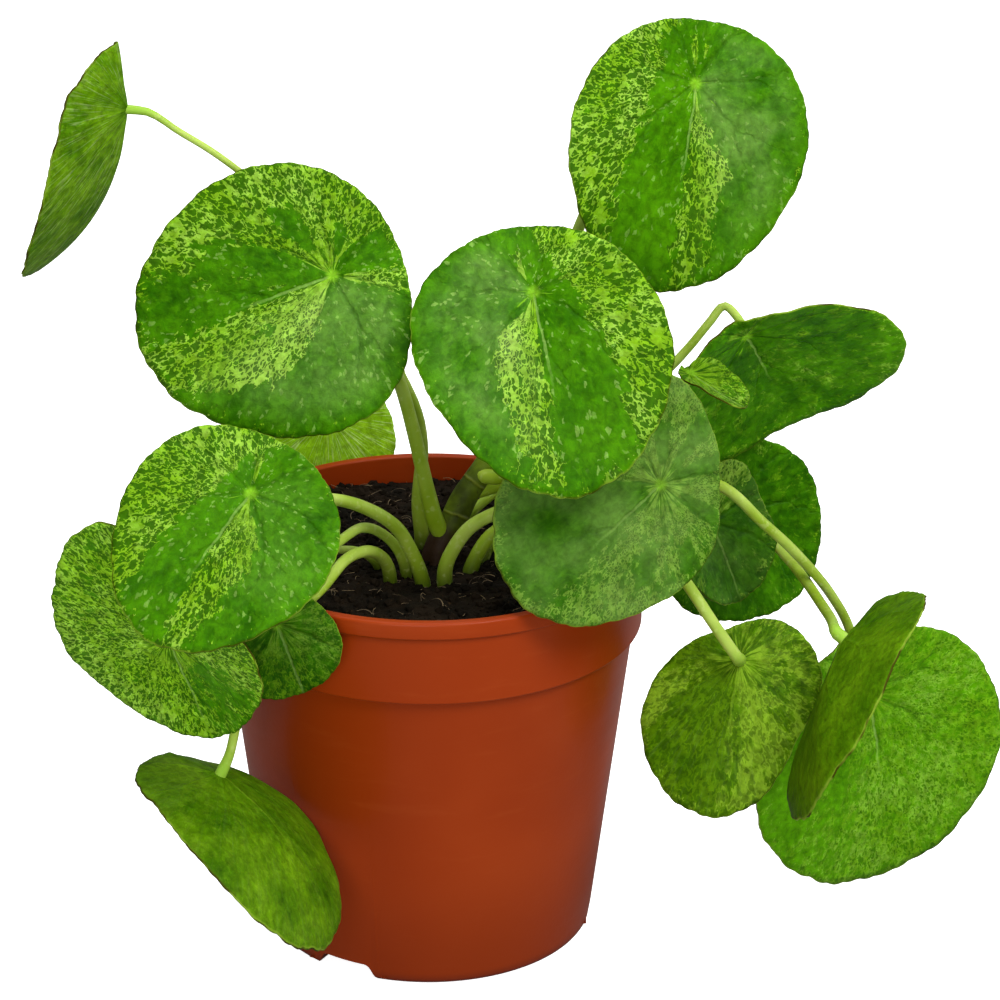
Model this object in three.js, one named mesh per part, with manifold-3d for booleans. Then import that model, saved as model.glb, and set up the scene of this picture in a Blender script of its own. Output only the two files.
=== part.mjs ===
// A variegated money plant in a round nursery pot: 17 round leaves, each carried near its middle on its own
// stalk, a short main stem, potting soil, and a plastic pot with a collar and three notches in its foot.
// Millimetres, +Z up. The origin is the middle of the pot's underside, and the front of the plant is -Y.

import * as THREE from 'three';
import { mergeVertices } from 'three/addons/utils/BufferGeometryUtils.js';
import Module from 'manifold-3d';

const wasm = await Module();
wasm.setup();

// Clearance between neighbouring pieces
const CLEAR = 0.35;

// The pot: a 12 cm nursery pot
const POT_HEIGHT = 115.7;
const RIM_RADIUS = 60;
const LIP_HEIGHT = 4.6;
const LIP_STEP = 1.2;
const LIP_SLOPE = 0.4;
const LIP_ROUNDING = 0.9;
const COLLAR_HEIGHT = 24;
const COLLAR_RADIUS = 59;
const WALL_TOP_RADIUS = 56.8;
const FOOT_RADIUS = 45.4;
const FOOT_ROUNDING = 1.6;
const WALL = 1.8;
const FLOOR = 2.4;
const POT_SIDES = 48;

// The foot's three notches, with flanks that flare out to the ground, and the drain hole in the roof of each
const NOTCH_COUNT = 3;
const NOTCH_FIRST_ANGLE = -121;
const NOTCH_FOOT_WIDTH = 21;
const NOTCH_ROOF_WIDTH = 12;
const NOTCH_HEIGHT = 4.5;
const NOTCH_DEPTH = 15;
const NOTCH_FLARE = 2.4;
const NOTCH_WALL = 2;
const DRAIN_RADIUS = 3.5;
const DRAIN_INSET = 2;
const DRAIN_SIDES = 12;

// How far a cutting shape runs on past the surface that it cuts
const OVERRUN = 5;

// The soil
const SOIL_TOP = 109;
const SOIL_EDGE_DROP = 1.2;
const SOIL_RINGS = [14, 28, 42];
const SOIL_SIDES = 26;
const SOIL_LUMP = 1.1;

// The leaves
const BLADE_THICKNESS = 1;
const BLADE_RINGS = [[0.3, 20], [0.55, 20], [0.8, 40], [1, 40]];
const NOTCH_OF_SCALLOP = 0.018;
const RIM_WAVE = 1.1;
const RIM_WAVES = 3;
const FOLD_SOFTNESS = 3;

// The stalks and the main stem
const STALK_SIDES = 7;
const STALK_STEPS = 11;
const STALK_TAPER = 1.4;
const STALK_LAST_BEND = 7;
const JOINT_SWELL = 0.35;
const JOINT_SHARE = 0.08;
const STEM_SIDES = 10;
const STEM_STEPS = 9;
const STEM_ROOT_RADIUS = 4.7;
const STEM_TIP_RADIUS = 3.1;

// Each leaf: the point where its stalk meets it, how far its upper face turns to the right of the front,
// how far it lifts from level, how far its tip swings from hanging straight down, its rim's distance from
// the stalk at every eighth of a turn from the tip, how much it curls along and across (1/mm), and its fold
// along the midrib in degrees. The stalk is its root's and tip's radius and the points of its run; bend is
// how far short of the leaf it turns to meet it, where that is nearer than on the others.
const LEAVES = {
  far_left: {
    place: [-81.9, 20.6, 231.2], turn: -98, lift: 5, hang: -19,
    reach: [62, 42, 27, 22, 22, 14, 20, 36], curl: [0.0116, 0], fold: 36,
    stalk: { radii: [2, 0.95], run: [[-2, 3, 98], [-2, 3, 106], [-2, 3, 113], [-3, 3, 123],
      [-2.6, 3.5, 131], [-1.8, 4.5, 139], [-3.1, 6, 148.6], [-8, 8, 160], [-20, 11, 181],
      [-36, 13, 203], [-50.6, 15, 215.3], [-58.7, 17, 220.8], [-67, 19, 225.4]] },
  },
  upper_left: {
    place: [-25.2, -25, 199.9], turn: -10, lift: 18, hang: -67,
    reach: [57, 47, 38, 24, 19, 23, 32, 44], curl: [-0.004, -0.004], fold: 10,
    stalk: { radii: [2.2, 1.6], run: [[3.5, -3, 117], [1.5, -4.5, 122], [-0.5, -5.5, 131],
      [-4.3, -6, 149], [-8, -6, 163], [-15, -7, 180], [-21, -10, 191]] },
  },
  middle: {
    place: [27, -38, 200], turn: -5, lift: 34, hang: 14,
    reach: [55, 44, 28, 20, 18, 22, 33, 42], curl: [-0.004, -0.004], fold: 12,
    stalk: { radii: [1.9, 1.4], run: [[27, 9, 148], [26, 1, 156], [26, -9, 171], [27, -20, 184]] },
  },
  top_right: {
    place: [71, 8, 242], turn: 17, lift: 14, hang: -12,
    reach: [57, 43, 30, 21, 17, 21, 31, 45], curl: [-0.004, -0.004], fold: 10,
    stalk: { radii: [1.9, 1.4], run: [[30, 10, 152], [31, 13, 163], [36, 18, 184], [48, 23, 213],
      [60, 22, 232]] },
  },
  left: {
    place: [-45.2, -76, 159.6], turn: -2, lift: 40, hang: -34,
    reach: [46, 37, 28, 19, 16, 18, 25, 35], curl: [-0.004, -0.005], fold: 9,
    stalk: { radii: [2.1, 1.5], run: [[-1.4, -20, 98], [-1.4, -20, 107], [-2.6, -20.5, 113.5],
      [-5, -22.5, 120.7], [-9, -26, 129], [-19, -37, 140], [-30, -52, 148], [-40, -62, 150]] },
  },
  lower_left: {
    place: [-68, -66, 114], turn: -32, lift: -18, hang: 16,
    reach: [31, 30, 36, 33, 40, 33, 33, 29], curl: [0.003, 0.003], fold: 8,
    stalk: { radii: [1.5, 1.2], run: [[-6, -14, 98], [-6, -14, 107], [-7, -15, 114], [-11, -20, 123],
      [-18, -29, 130], [-25, -38, 129], [-38, -48, 124], [-54, -55, 119]] },
  },
  small_left: {
    place: [-40, -58, 115], turn: 0, lift: 16, hang: 21,
    reach: [20, 19, 13, 10, 9, 10, 14, 20], curl: [-0.006, -0.006], fold: 8,
    stalk: { radii: [1.3, 1], run: [[-13, -7, 98], [-13, -7, 106], [-16, -12, 114], [-23, -23, 121],
      [-31, -37, 124], [-37, -46, 121]] },
  },
  hanging_left: {
    place: [-56, -60, 71], turn: -74, lift: -65, hang: 43,
    reach: [55, 46, 29, 23, 16, 21, 31, 39], curl: [0.0175, 0.011], fold: 2,
    stalk: { radii: [1.8, 1.3], run: [[-10.5, -17, 98], [-10.5, -17, 107], [-11.5, -21, 116],
      [-16, -31, 124], [-22, -41, 126], [-28, -50, 122], [-36, -54, 115], [-44, -56, 104],
      [-50, -57, 90]] },
  },
  right: {
    place: [87, 12, 168.7], turn: 27, lift: -37, hang: 35,
    reach: [52, 52, 28, 16, 11, 15, 28, 53], curl: [0.004, 0], fold: 12,
    stalk: { radii: [1.7, 1.2], run: [[24, 8, 145], [34, 14, 146], [52, 15, 151], [64, 15, 157],
      [71, 16, 164], [77, 18, 171], [81, 20, 175]] },
  },
  young: {
    place: [70, -12, 168], turn: 35, lift: 65, hang: 10,
    reach: [20, 12, 6, 3, 3, 3, 6, 11], curl: [0.012, 0.03], fold: 30,
    stalk: { radii: [1.1, 0.9], run: [[26, 8, 147], [36, 2, 148], [50, -5, 153], [61, -10, 161]] },
  },
  right_middle: {
    place: [61, -40, 146.8], turn: 14, lift: 24, hang: -54,
    reach: [49, 32, 22, 16, 20, 30, 28, 43], curl: [-0.003, -0.004], fold: 6,
    stalk: { radii: [2.2, 1.5], run: [[4.2, -20, 98], [4.2, -20, 107], [4.4, -20, 114.5],
      [7, -20.5, 121], [11, -21, 126.6], [17, -22, 130.8], [32, -24.5, 137], [47, -28, 142]] },
  },
  lower_right: {
    place: [84.9, -19.5, 86.3], turn: 168, lift: -31, hang: 4,
    reach: [44, 35, 18, 10, 11, 17, 23, 27], curl: [0.004, 0.004], fold: 10,
    stalk: { radii: [2, 1.6], run: [[10.5, -11, 98], [10.5, -11, 106], [12.5, -11, 113], [18, -11, 121],
      [34, -11, 126], [51, -12, 125], [62, -15, 119], [70, -19, 109], [78, -24, 98]] },
  },
  back_right: {
    place: [88, 42, 104], turn: 26, lift: 13, hang: -6,
    reach: [31, 31, 26, 24, 22, 24, 26, 32], curl: [0.005, 0.003], fold: 6,
    stalk: { radii: [1.5, 1.1], run: [[5, 9, 98], [5, 9, 106], [10, 12, 115], [28, 22, 125],
      [52, 37, 123], [72, 48, 112]] },
  },
  inner_right: {
    place: [78.8, 12, 113.8], turn: 33, lift: 19, hang: 11,
    reach: [24, 20, 16, 19, 14, 17, 19, 21], curl: [0.006, 0.01], fold: 14,
    stalk: { radii: [1.4, 1.1], run: [[14, -4, 98], [14, -4, 106], [17, -3, 114], [24, 3, 121],
      [38, 12, 125], [56, 19, 122], [68, 20, 115]] },
  },
  cupped_right: {
    place: [112.3, -35.6, 99.3], turn: 72, lift: -34, hang: -72,
    reach: [51, 47, 29, 21, 18, 21, 30, 40], curl: [0.012, 0.001], fold: 16,
    stalk: { radii: [1.9, 1.5], bend: 3, run: [[10, 2, 127], [18, 5, 128], [34, 13, 130],
      [54, 22, 127], [74, 27, 119], [88, 28, 110.5], [98.7, 23, 101.3], [104.5, 8, 98.6], [108, -8, 97.8],
      [109.5, -20, 98.8]] },
  },
  bottom_right: {
    place: [123.6, 2.2, 65.4], turn: 25, lift: 4, hang: 9,
    reach: [62, 52, 36, 23, 20, 21, 38, 53], curl: [-0.004, -0.004], fold: 8,
    stalk: { radii: [1.8, 1.4], run: [[12, 4, 132], [19, -1, 133], [36, -4, 137], [58, -6, 138],
      [80, -6, 132], [91, -4, 121], [100, 0, 111], [112, 8, 94], [119, 13, 79]] },
  },
  back_left: {
    place: [-29.5, 65, 125], turn: -166, lift: -23, hang: 7,
    reach: [28, 25, 20, 15, 13, 15, 20, 26], curl: [0.006, 0.006], fold: 6,
    stalk: { radii: [1.4, 1.1], run: [[-1, 11, 98], [-1, 11, 106], [-1.5, 11, 120], [-3, 11.5, 135],
      [-6, 13, 150], [-10, 16, 165], [-18, 24, 177], [-26, 38, 175], [-30, 50, 156], [-29, 56, 139]] },
  },
};

// The main stem leans back and to the right, out of sight behind the middle leaf
const STEM_RUN = [[1.5, -4, 96], [1.5, -4, 106], [3, -3, 113.5], [6.4, -1, 119.5], [9.3, 1, 125.5],
  [14.6, 4, 133], [23, 8, 145], [30, 10, 153]];

const COLOURS = {
  pot: 0xa04424,
  soil: 0x1d1612,
  stem: 0x5f6a38,
  stalk: 0x93ab45,
  leaf: 0x4c8a26,
};

const radians = THREE.MathUtils.degToRad;

function finish(colour, roughness) {
  return new THREE.MeshStandardMaterial({ color: colour, roughness, metalness: 0 });
}

// A geometry's closed surface as a solid that can be cut and joined
function solid(geometry) {
  const bare = geometry.index ? geometry.toNonIndexed() : geometry.clone();
  bare.deleteAttribute('normal');
  bare.deleteAttribute('uv');
  const merged = mergeVertices(bare, 1e-4);
  return new wasm.Manifold(new wasm.Mesh({
    numProp: 3,
    vertProperties: new Float32Array(merged.attributes.position.array),
    triVerts: new Uint32Array(merged.index.array),
  }));
}

function toGeometry(manifold) {
  const mesh = manifold.getMesh();
  const geometry = new THREE.BufferGeometry();
  geometry.setAttribute('position', new THREE.BufferAttribute(mesh.vertProperties, 3));
  geometry.setIndex(new THREE.BufferAttribute(mesh.triVerts, 1));
  geometry.computeVertexNormals();
  return geometry;
}

// A geometry from points and the triangles between them
function faceted(points, triangles) {
  const geometry = new THREE.BufferGeometry();
  geometry.setAttribute('position', new THREE.Float32BufferAttribute(points.flatMap((p) => p.toArray()), 3));
  geometry.setIndex(triangles.flat());
  geometry.computeVertexNormals();
  return geometry;
}

// Turns a profile of [radius, height] pairs round the vertical axis
function turned(profile, sides) {
  const lathe = new THREE.LatheGeometry(profile.map(([r, z]) => new THREE.Vector2(r, z)), sides);
  return lathe.rotateX(Math.PI / 2);
}

// A smooth closed ring of values, read at an angle
function ringValue(values, angle) {
  const count = values.length;
  const place = (((angle / (2 * Math.PI)) % 1) + 1) % 1 * count;
  const index = Math.floor(place);
  const f = place - index;
  const at = (k) => values[(index + k + count) % count];
  const [before, start, end, after] = [at(-1), at(0), at(1), at(2)];
  const slope = end - before;
  const bend = 2 * before - 5 * start + 4 * end - after;
  const twist = -before + 3 * start - 3 * end + after;
  return 0.5 * (2 * start + slope * f + bend * f * f + twist * f ** 3);
}

// Where a point of a flat strip goes when the strip is bent to a curvature: along it, and out of it
function bent(curvature, distance) {
  if (Math.abs(curvature) < 1e-6) {
    return [distance, 0];
  }
  const angle = curvature * distance;
  return [Math.sin(angle) / curvature, (1 - Math.cos(angle)) / curvature];
}

// A point of a leaf's middle surface, seen from its stalk: X to the tip, Z out of the upper face. The rim's
// wave starts at another angle on every leaf, as far round as its stalk's place says.
function bladePoint(leaf, angle, share, scallop) {
  const radius = ringValue(leaf.reach, angle) * share * scallop;
  const along = radius * Math.cos(angle);
  const across = radius * Math.sin(angle);
  const fold = radians(leaf.fold);
  const rise = (Math.hypot(across, FOLD_SOFTNESS) - FOLD_SOFTNESS) * Math.sin(fold);
  const [x, liftAlong] = bent(leaf.curl[0], along);
  const [y, liftAcross] = bent(leaf.curl[1], across * Math.cos(fold));
  const start = leaf.place[0];
  const wave = RIM_WAVE * share * share * Math.cos(RIM_WAVES * angle + start);
  return new THREE.Vector3(x, y, liftAlong + liftAcross + rise + wave);
}

// Triangles between two rings, where the outer ring has as many or twice as many points as the inner one
function stitch(inner, innerCount, outer, outerCount, flip) {
  const triangles = [];
  for (let i = 0; i < innerCount; i += 1) {
    const a = inner + i;
    const b = inner + (i + 1) % innerCount;
    if (outerCount === innerCount) {
      const c = outer + i;
      const d = outer + (i + 1) % outerCount;
      triangles.push([a, c, d], [a, d, b]);
    } else {
      const c = outer + 2 * i;
      const d = c + 1;
      const e = outer + (2 * i + 2) % outerCount;
      triangles.push([a, c, d], [a, d, b], [b, d, e]);
    }
  }
  return flip ? triangles.map(([p, q, r]) => [p, r, q]) : triangles;
}

// A leaf's blade: the same net of triangles on the upper and the under face, joined round the rim
function bladeGeometry(leaf) {
  const points = [];
  const triangles = [];
  const rims = [];
  for (const side of [1, -1]) {
    const middle = points.length;
    const lift = side * BLADE_THICKNESS / 2;
    points.push(bladePoint(leaf, 0, 0, 1).add(new THREE.Vector3(0, 0, lift)));
    let last = null;
    for (const [share, count] of BLADE_RINGS) {
      const start = points.length;
      for (let i = 0; i < count; i += 1) {
        const dent = share === 1 && i % 2 === 1 ? 1 - NOTCH_OF_SCALLOP : 1;
        const point = bladePoint(leaf, 2 * Math.PI * i / count, share, dent);
        points.push(point.add(new THREE.Vector3(0, 0, lift)));
      }
      if (last === null) {
        for (let i = 0; i < count; i += 1) {
          const fan = [middle, start + i, start + (i + 1) % count];
          triangles.push(side === 1 ? fan : [fan[0], fan[2], fan[1]]);
        }
      } else {
        triangles.push(...stitch(last.start, last.count, start, count, side === -1));
      }
      last = { start, count };
    }
    rims.push(last);
  }
  triangles.push(...stitch(rims[0].start, rims[0].count, rims[1].start, rims[1].count, false));
  return faceted(points, triangles);
}

// The directions of a leaf: to its tip, to its side and out of its upper face
function leafAxes(leaf) {
  const turn = radians(leaf.turn);
  const lift = radians(leaf.lift);
  const hang = radians(leaf.hang);
  const face = new THREE.Vector3(
    Math.sin(turn) * Math.cos(lift),
    -Math.cos(turn) * Math.cos(lift),
    Math.sin(lift),
  );
  const level = new THREE.Vector3(Math.cos(turn), Math.sin(turn), 0);
  const down = new THREE.Vector3().crossVectors(level, face);
  const tip = down.multiplyScalar(Math.cos(hang)).addScaledVector(level, Math.sin(hang));
  const side = new THREE.Vector3().crossVectors(face, tip);
  return { tip, side, face };
}

// A round tube along a run of points, closed at both ends, with a radius for each share of its length
function tube(run, radiusAt, sides, steps) {
  const curve = new THREE.CatmullRomCurve3(run);
  const frames = curve.computeFrenetFrames(steps, false);
  const points = [curve.getPointAt(0)];
  for (let i = 0; i <= steps; i += 1) {
    const share = i / steps;
    const middle = curve.getPointAt(share);
    const radius = radiusAt(share);
    for (let k = 0; k < sides; k += 1) {
      const angle = 2 * Math.PI * k / sides;
      points.push(middle.clone()
        .addScaledVector(frames.normals[i], radius * Math.cos(angle))
        .addScaledVector(frames.binormals[i], radius * Math.sin(angle)));
    }
  }
  points.push(curve.getPointAt(1));
  const triangles = [];
  const last = 1 + steps * sides;
  for (let k = 0; k < sides; k += 1) {
    const next = (k + 1) % sides;
    triangles.push([0, 1 + next, 1 + k]);
    triangles.push([points.length - 1, last + k, last + next]);
    for (let i = 0; i < steps; i += 1) {
      const low = 1 + i * sides;
      const high = low + sides;
      triangles.push([low + k, low + next, high + next], [low + k, high + next, high + k]);
    }
  }
  return faceted(points, triangles);
}

// A stalk's whole run: it comes to the leaf's underside square on, and stops just short of it
function stalkRun(leaf) {
  const place = new THREE.Vector3(...leaf.place);
  const { face } = leafAxes(leaf);
  const end = place.clone().addScaledVector(face, -(BLADE_THICKNESS / 2 + CLEAR));
  const bend = place.clone().addScaledVector(face, -(leaf.stalk.bend ?? STALK_LAST_BEND));
  return [...leaf.stalk.run.map((p) => new THREE.Vector3(...p)), bend, end];
}

function stalkGeometry(leaf, extra) {
  const [root, tip] = leaf.stalk.radii;
  const radiusAt = (share) => {
    const swell = JOINT_SWELL * Math.max(0, 1 - (1 - share) / JOINT_SHARE);
    return root + (tip - root) * Math.min(1, share * STALK_TAPER) + swell + extra;
  };
  const run = stalkRun(leaf);
  if (extra > 0) {
    run[0] = run[0].clone().add(new THREE.Vector3(0, 0, -extra));
  }
  return tube(run, radiusAt, STALK_SIDES, STALK_STEPS);
}

function stemGeometry(extra) {
  const run = STEM_RUN.map((p) => new THREE.Vector3(...p));
  run[0].z -= extra;
  const radiusAt = (share) => STEM_ROOT_RADIUS + (STEM_TIP_RADIUS - STEM_ROOT_RADIUS) * share + extra;
  return tube(run, radiusAt, STEM_SIDES, STEM_STEPS);
}

// A bar that runs out of the pot's middle at an angle, with a notch's outline grown all round by a margin
function notchBar(angle, margin) {
  const foot = NOTCH_FOOT_WIDTH / 2 + margin;
  const roof = NOTCH_ROOF_WIDTH / 2 + margin;
  const top = NOTCH_HEIGHT + margin;
  const shape = new THREE.Shape();
  shape.moveTo(-foot, -OVERRUN);
  shape.lineTo(foot, -OVERRUN);
  shape.lineTo(foot, 0);
  shape.bezierCurveTo(foot - NOTCH_FLARE, margin, roof + NOTCH_FLARE, top, roof, top);
  shape.lineTo(-roof, top);
  shape.bezierCurveTo(-roof - NOTCH_FLARE, top, -foot + NOTCH_FLARE, margin, -foot, 0);
  const depth = NOTCH_DEPTH + margin + OVERRUN;
  const bar = new THREE.ExtrudeGeometry(shape, { depth, bevelEnabled: false, curveSegments: 5 });
  bar.rotateX(Math.PI / 2).rotateZ(Math.PI / 2);
  bar.translate(FOOT_RADIUS - NOTCH_DEPTH - margin, 0, 0);
  return solid(bar.rotateZ(radians(angle)));
}

function notchAngles() {
  return Array.from({ length: NOTCH_COUNT }, (_, i) => NOTCH_FIRST_ANGLE + i * 360 / NOTCH_COUNT);
}

function wallRadiusAt(height) {
  const collarBottom = POT_HEIGHT - COLLAR_HEIGHT;
  return FOOT_RADIUS + (WALL_TOP_RADIUS - FOOT_RADIUS) * height / collarBottom;
}

// The room inside the pot, drawn in by a clearance, with a bump over each notch
function potRoom(clearance, top) {
  const collarBottom = POT_HEIGHT - COLLAR_HEIGHT;
  const profile = [
    [0, FLOOR + clearance],
    [wallRadiusAt(FLOOR) - WALL - clearance, FLOOR + clearance],
    [WALL_TOP_RADIUS - WALL - clearance, collarBottom],
    [COLLAR_RADIUS - WALL - clearance, collarBottom + WALL],
    [RIM_RADIUS - LIP_STEP - WALL - clearance, top],
    [0, top],
  ];
  let room = solid(turned(profile, POT_SIDES));
  for (const angle of notchAngles()) {
    room = room.subtract(notchBar(angle, NOTCH_WALL + clearance));
  }
  return room;
}

function potGeometry() {
  const collarBottom = POT_HEIGHT - COLLAR_HEIGHT;
  const profile = [
    [0, 0],
    [FOOT_RADIUS - FOOT_ROUNDING, 0],
    [FOOT_RADIUS, FOOT_ROUNDING],
    [WALL_TOP_RADIUS, collarBottom],
    [COLLAR_RADIUS, collarBottom],
    [RIM_RADIUS - LIP_STEP, POT_HEIGHT - LIP_HEIGHT - LIP_SLOPE],
    [RIM_RADIUS, POT_HEIGHT - LIP_HEIGHT],
    [RIM_RADIUS, POT_HEIGHT - LIP_ROUNDING],
    [RIM_RADIUS - LIP_ROUNDING, POT_HEIGHT],
    [0, POT_HEIGHT],
  ];
  let pot = solid(turned(profile, POT_SIDES)).subtract(potRoom(0, POT_HEIGHT + OVERRUN));
  for (const angle of notchAngles()) {
    const height = NOTCH_HEIGHT + NOTCH_WALL + OVERRUN;
    const drain = new THREE.CylinderGeometry(DRAIN_RADIUS, DRAIN_RADIUS, height, DRAIN_SIDES);
    drain.rotateX(Math.PI / 2);
    drain.translate(FOOT_RADIUS - NOTCH_DEPTH + DRAIN_RADIUS + DRAIN_INSET, 0, height / 2);
    pot = pot.subtract(notchBar(angle, 0)).subtract(solid(drain.rotateZ(radians(angle))));
  }
  return toGeometry(pot);
}

// The soil's lumpy top: low where it meets the pot, a little higher round the stems
function soilHeight(radius, angle) {
  const share = radius / RIM_RADIUS;
  const lumps = Math.sin(3 * angle + radius / 5) * Math.cos(5 * angle - radius / 7);
  return SOIL_TOP - SOIL_EDGE_DROP * share * share + SOIL_LUMP * lumps * share;
}

function soilGeometry(cuts) {
  const points = [new THREE.Vector3(0, 0, SOIL_TOP), new THREE.Vector3(0, 0, 0)];
  const triangles = [];
  const rings = [...SOIL_RINGS, RIM_RADIUS];
  rings.forEach((radius) => {
    for (let k = 0; k < SOIL_SIDES; k += 1) {
      const angle = 2 * Math.PI * k / SOIL_SIDES;
      const height = soilHeight(radius, angle);
      points.push(new THREE.Vector3(radius * Math.cos(angle), radius * Math.sin(angle), height));
    }
  });
  for (let k = 0; k < SOIL_SIDES; k += 1) {
    const angle = 2 * Math.PI * k / SOIL_SIDES;
    points.push(new THREE.Vector3(RIM_RADIUS * Math.cos(angle), RIM_RADIUS * Math.sin(angle), 0));
  }
  for (let k = 0; k < SOIL_SIDES; k += 1) {
    const next = (k + 1) % SOIL_SIDES;
    triangles.push([0, 2 + k, 2 + next]);
    for (let ring = 0; ring < rings.length; ring += 1) {
      const inner = 2 + ring * SOIL_SIDES;
      const outer = inner + SOIL_SIDES;
      triangles.push([inner + k, outer + k, outer + next], [inner + k, outer + next, inner + next]);
    }
    const base = 2 + rings.length * SOIL_SIDES;
    triangles.push([1, base + next, base + k]);
  }
  let soil = solid(faceted(points, triangles)).intersect(potRoom(CLEAR, POT_HEIGHT));
  for (const cut of cuts) {
    soil = soil.subtract(cut);
  }
  return toGeometry(soil);
}

const plant = new THREE.Group();

function addMesh(name, geometry, material) {
  const mesh = new THREE.Mesh(geometry, material);
  mesh.name = name;
  plant.add(mesh);
  return mesh;
}

const stemRoom = solid(stemGeometry(CLEAR));
const holes = [stemRoom];
for (const [name, leaf] of Object.entries(LEAVES)) {
  const rooted = leaf.stalk.run[0][2] < SOIL_TOP;
  const stalk = solid(stalkGeometry(leaf, 0));
  if (rooted) {
    holes.push(solid(stalkGeometry(leaf, CLEAR)));
  }
  addMesh(`stalk_${name}`, toGeometry(rooted ? stalk : stalk.subtract(stemRoom)), finish(COLOURS.stalk, 0.5));
  const blade = addMesh(`leaf_${name}`, bladeGeometry(leaf), finish(COLOURS.leaf, 0.45));
  const { tip, side, face } = leafAxes(leaf);
  blade.quaternion.setFromRotationMatrix(new THREE.Matrix4().makeBasis(tip, side, face));
  blade.position.set(...leaf.place);
}
addMesh('main_stem', stemGeometry(0), finish(COLOURS.stem, 0.7));
addMesh('soil', soilGeometry(holes), finish(COLOURS.soil, 0.95));
addMesh('pot', potGeometry(), finish(COLOURS.pot, 0.4));

export default plant;
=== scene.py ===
# %% [markdown]
# # A variegated money plant in a nursery pot
# This lesson dresses a measured model of a pot plant: 17 round leaves on bending stalks, a short main stem,
# potting soil and a moulded pot. The measured solids give every place and size. Here each one gets its fine
# shape and its finish. Sizes are written in millimetres, as a gardener would give them, and turned into
# metres.

# %% Load the measured model
import math

import bpy
import numpy as np
from mathutils import Matrix, Vector


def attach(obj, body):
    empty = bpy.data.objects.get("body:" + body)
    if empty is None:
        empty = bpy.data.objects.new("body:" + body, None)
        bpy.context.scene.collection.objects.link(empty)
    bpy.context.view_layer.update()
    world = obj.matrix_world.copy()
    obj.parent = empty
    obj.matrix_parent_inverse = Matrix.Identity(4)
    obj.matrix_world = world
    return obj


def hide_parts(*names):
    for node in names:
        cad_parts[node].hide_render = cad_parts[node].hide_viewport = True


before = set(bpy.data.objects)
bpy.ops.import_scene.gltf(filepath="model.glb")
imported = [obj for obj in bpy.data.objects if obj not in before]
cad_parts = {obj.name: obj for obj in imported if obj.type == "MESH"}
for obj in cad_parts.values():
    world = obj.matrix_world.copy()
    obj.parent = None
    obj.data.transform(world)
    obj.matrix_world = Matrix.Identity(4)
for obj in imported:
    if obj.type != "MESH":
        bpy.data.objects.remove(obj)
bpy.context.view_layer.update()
MM = 0.001
print("solids in the measured model:", len(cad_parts))

# %% [markdown]
# ## The camera
# The photograph looks down on the pot from the front with a long lens. The camera is built from its
# distance, its height angle and small turns, so the plant fills the picture as in the photograph.

# %% Camera
CAMERA_DISTANCE = 1124 * MM
CAMERA_HEIGHT_ANGLE = math.radians(25.8)
CAMERA_AIM_HEIGHT = 60 * MM
CAMERA_PITCH_DOWN = math.radians(22.7)
CAMERA_YAW = math.radians(1.1)
CAMERA_ROLL = math.radians(0.3)
LENS_LENGTH = 144
SENSOR_WIDTH = 36
NEAREST_SEEN = 50 * MM


def add_object(name, data):
    """Puts a new mesh, curve, lamp or camera into the scene."""
    item = bpy.data.objects.new(name, data)
    bpy.context.scene.collection.objects.link(item)
    return item


def make_camera():
    place = Vector((0, -math.cos(CAMERA_HEIGHT_ANGLE) * CAMERA_DISTANCE,
                    CAMERA_AIM_HEIGHT + math.sin(CAMERA_HEIGHT_ANGLE) * CAMERA_DISTANCE))
    level = math.cos(CAMERA_PITCH_DOWN)
    forward = Vector((math.sin(CAMERA_YAW) * level, math.cos(CAMERA_YAW) * level,
                      -math.sin(CAMERA_PITCH_DOWN)))
    right = Vector((math.cos(CAMERA_YAW), -math.sin(CAMERA_YAW), 0))
    up = right.cross(forward)
    right_rolled = right * math.cos(CAMERA_ROLL) + up * math.sin(CAMERA_ROLL)
    up_rolled = up * math.cos(CAMERA_ROLL) - right * math.sin(CAMERA_ROLL)
    lens = bpy.data.cameras.new("photo_camera")
    lens.sensor_width = SENSOR_WIDTH
    lens.lens = LENS_LENGTH
    lens.clip_start = NEAREST_SEEN
    camera = add_object("photo_camera", lens)
    turn = Matrix((right_rolled, up_rolled, -forward)).transposed().to_4x4()
    camera.matrix_world = Matrix.Translation(place) @ turn
    bpy.context.scene.camera = camera
    return camera


camera = make_camera()
bpy.context.scene.view_settings.view_transform = "Standard"
print("camera stands at", [round(value, 3) for value in camera.matrix_world.translation])

# %% [markdown]
# ## Small helpers
# A node tree is easier to read when it looks like a formula. So a board stands for a tree and makes its
# nodes in one line each, and a value stands for what a node puts out: adding or multiplying two values
# makes the node that does it. Colours are written as a screen shows them and turned into the light values
# of Blender.

# %% Helpers for colours and nodes


def screen_colour(red, green, blue):
    """The light values of a colour that a screen shows, by the usual screen curve."""
    values = [channel / 255 for channel in (red, green, blue)]
    linear = [v / 12.92 if v <= 0.04045 else ((v + 0.055) / 1.055) ** 2.4 for v in values]
    return (*linear, 1.0)


class Value:
    """What a node puts out. Each sum, product, step or coat of it is a new node."""

    def __init__(self, board, socket):
        self.board = board
        self.socket = socket

    def __add__(self, other):
        return self.board.math("ADD", self, other)

    def __sub__(self, other):
        return self.board.math("SUBTRACT", self, other)

    def __rsub__(self, other):
        return self.board.math("SUBTRACT", other, self)

    def __mul__(self, other):
        return self.board.math("MULTIPLY", self, other)

    __radd__ = __add__

    def step(self, start, end):
        """A soft step, 0 at the start and 1 at the end."""
        inputs = {"Value": self, "From Min": start, "From Max": end}
        return self.board.value("ShaderNodeMapRange", inputs, "Result", interpolation_type="SMOOTHSTEP")

    def coated(self, *coats):
        """This colour under coats of other ones, each with its share and its colour."""
        colour = self
        for share, paint in coats:
            colour = self.board.blend(share, colour, paint)
        return colour


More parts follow.
